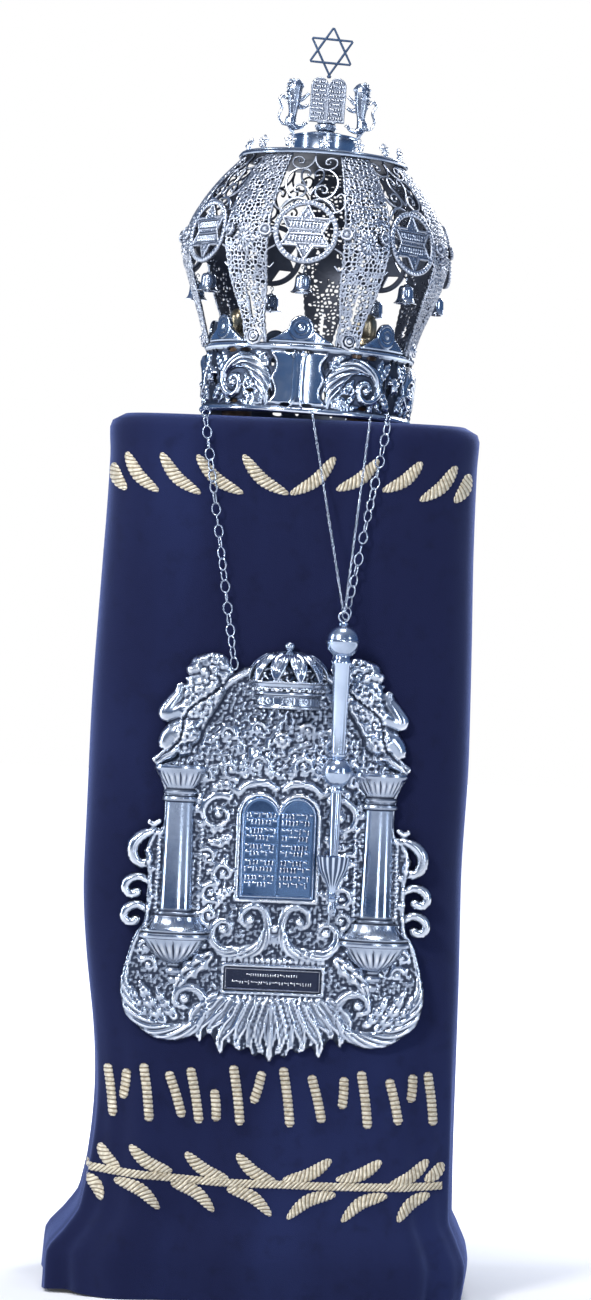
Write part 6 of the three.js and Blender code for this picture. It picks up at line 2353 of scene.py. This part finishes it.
    def build(self, finishes: Finishes) -> None:
        """Make every piece of the crown and set it in its place."""
        finish_piece(self.band(), finishes.polished, Slot.SILVER, "crown_band")
        medallion, bell = self.medallion_piece(), self.bell()
        for k in range(self.parts):
            at = self.first + 360 / self.parts * k
            finish_piece(self.rib(k), finishes.filigree, Slot.SILVER, f"crown_rib_{k + 1}")
            one = self.stood(copied(medallion, f"medallion_{k + 1}", Matrix.Identity(4)), at)
            finish_piece(one, finishes.filigree, Slot.SILVER, f"crown_medallion_{k + 1}")
            out = float(np.interp(138, self.levels, self.radii)) - 3.5
            hung = copied(bell, f"bell_{k + 1}",
                          Matrix.Translation((0, -out, 111.4)) @ Matrix.Rotation(0.9 * k, 4, "Z"))
            finish_piece(self.stood(hung, at, MM), finishes.silver, Slot.SILVER, f"crown_bell_{k + 1}")
        pick(medallion, bell)
        bpy.ops.object.delete()
        for thing, finish, node in (
                (self.top_plate(), finishes.polished, "crown_top_plate"),
                (self.drum_piece(), finishes.polished, "crown_drum"),
                (self.vase(), finishes.polished, "crown_vase"), (self.star_piece(), finishes.shaded_star_bars,
                                                                 "crown_star"),
                (self.lion(Side.LEFT), finishes.silver, "crown_lion_left"),
                (self.lion(Side.RIGHT), finishes.silver, "crown_lion_right")):
            finish_piece(self.stood(thing, 0, MM), finish, Slot.SILVER, node)
        finish_piece(self.stood(self.tablets_piece()), finishes.filigree, Slot.SILVER, "crown_tablets")


# The studio


@dataclass
class Studio:
    """A pale floor, soft lights and the camera of the photograph."""

    distance: float = 3.75
    height: float = 0.611
    side: float = 0.0147
    lens: float = 108.0
    roll: float = 2.5

    def camera(self) -> None:
        """Set the camera at the photograph's viewing angle."""
        deselect()
        bpy.ops.object.camera_add()
        camera = bpy.context.object
        camera.name = "camera"
        camera.data.lens = self.lens
        camera.data.sensor_width = 36.0
        camera.data.clip_end = 50.0
        place = Matrix.Translation((self.side, -self.distance + SHIFT.y * MM, self.height))
        camera.matrix_world = (place @ Matrix.Rotation(math.pi / 2, 4, "X")
                               @ Matrix.Rotation(math.radians(self.roll), 4, "Z"))
        bpy.context.scene.camera = camera

    def floor(self) -> None:
        """A wide pale floor."""
        deselect()
        bpy.ops.mesh.primitive_plane_add(size=30)
        floor = named("pale_floor")
        material, tree, shader, where = started("pale_floor")
        tree.link(tree.mix(tree.noise(where, 3.0), (0.78, 0.78, 0.8), (0.82, 0.82, 0.83)),
                  shader.inputs["Base Color"])
        split = tree.add("ShaderNodeSeparateXYZ")
        tree.link(where, split.inputs[0])
        behind = tree.between(split.outputs["Y"], -0.25, 1.2)
        tree.link(tree.mix(behind, (0.0, 0.0, 0.0), (1.0, 1.0, 1.0)), shader.inputs["Emission Color"])
        shader.inputs["Emission Strength"].default_value = 1.0
        shader.inputs["Roughness"].default_value = 0.9
        floor.data.materials.append(material)

    @staticmethod
    def light(name: str, place: Sequence[float], size: Point2, power: float, colour: Sequence[float],
              aim: Sequence[float] = (0.0, 0.0, 0.6)) -> None:
        """A soft rectangular light that faces a point.

        Args:
            name: the light's name.
            place: where it stands, in metres.
            size: its width and height, in metres.
            power: its power in watts.
            colour: its colour.
            aim: the point that it faces.
        """
        deselect()
        bpy.ops.object.light_add(type="AREA", location=place)
        lamp = bpy.context.object
        lamp.name = name
        lamp.data.shape = "RECTANGLE"
        lamp.data.size, lamp.data.size_y = size
        lamp.data.energy = power
        lamp.data.color = colour
        lamp.rotation_euler = (Vector(aim) - Vector(place)).to_track_quat("-Z", "Y").to_euler()

    def world(self) -> None:
        """A soft sky that is white above and cool and darker towards the horizon."""
        world = bpy.data.worlds.new("studio")
        bpy.context.scene.world = world
        world.use_nodes = True
        tree = Tree(world.node_tree)
        background = world.node_tree.nodes["Background"]
        where = tree.add("ShaderNodeTexCoord").outputs["Generated"]
        split = tree.add("ShaderNodeSeparateXYZ")
        tree.link(where, split.inputs[0])
        ramp = tree.add("ShaderNodeValToRGB")
        stops = [(0.0, (0.06, 0.06, 0.08)), (0.42, (0.02, 0.025, 0.04)), (0.5, (0.03, 0.055, 0.12)),
                 (0.55, (0.10, 0.19, 0.36)),
                 (0.63, (0.08, 0.15, 0.30)), (0.75, (0.13, 0.19, 0.33)), (1.0, (0.35, 0.4, 0.5))]
        while len(ramp.color_ramp.elements) < len(stops):
            ramp.color_ramp.elements.new(0.5)
        for element, (at, colour) in zip(ramp.color_ramp.elements, stops):
            element.position = at
            element.color = (*colour, 1.0)
        tree.link(tree.math("ADD", tree.math("MULTIPLY", split.outputs["Z"], 0.5), 0.5), ramp.inputs[0])
        path = tree.add("ShaderNodeLightPath")
        tree.link(tree.mix(path.outputs["Is Camera Ray"], ramp.outputs[0], (1.0, 1.0, 1.0)),
                  background.inputs["Color"])
        background.inputs["Strength"].default_value = 1.0
        bpy.context.scene.view_settings.view_transform = "Standard"

    def build(self) -> None:
        """Set up everything around the object."""
        self.floor()
        self.world()
        self.light("key", (-1.6, -2.6, 2.4), (0.6, 0.6), 88.0, (1.0, 0.98, 0.95))
        self.light("fill", (2.2, -2.0, 1.0), (0.4, 1.6), 20.0, (0.86, 0.92, 1.0))
        self.light("near strip", (0.55, -3.3, 0.95), (0.16, 1.6), 14.0, (0.95, 0.97, 1.0), (0.55, 0.0, 0.95))
        self.light("left strip", (-2.2, -0.4, 1.0), (0.3, 1.8), 26.0, (0.9, 0.95, 1.0))
        self.light("back", (1.4, 2.2, 2.0), (1.0, 1.0), 40.0, (1.0, 1.0, 1.0))
        self.light("top", (0.0, -0.6, 3.0), (0.8, 0.6), 30.0, (1.0, 1.0, 1.0))


def main() -> None:
    """Build every sub-assembly in order around the frame."""
    logging.basicConfig(level=logging.INFO, format="%(name)s %(message)s")
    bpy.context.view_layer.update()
    studio = Studio()
    studio.camera()
    finishes = Finishes()
    Rollers().build(finishes)
    mantle = Mantle()
    mantle.build(finishes)
    build_embroidery(mantle, finishes)
    Chains().build(finishes)
    Pointer().build(finishes)
    Breastplate().build(finishes)
    Crown().build(finishes)
    studio.build()


if __name__ == "__main__":
    main()
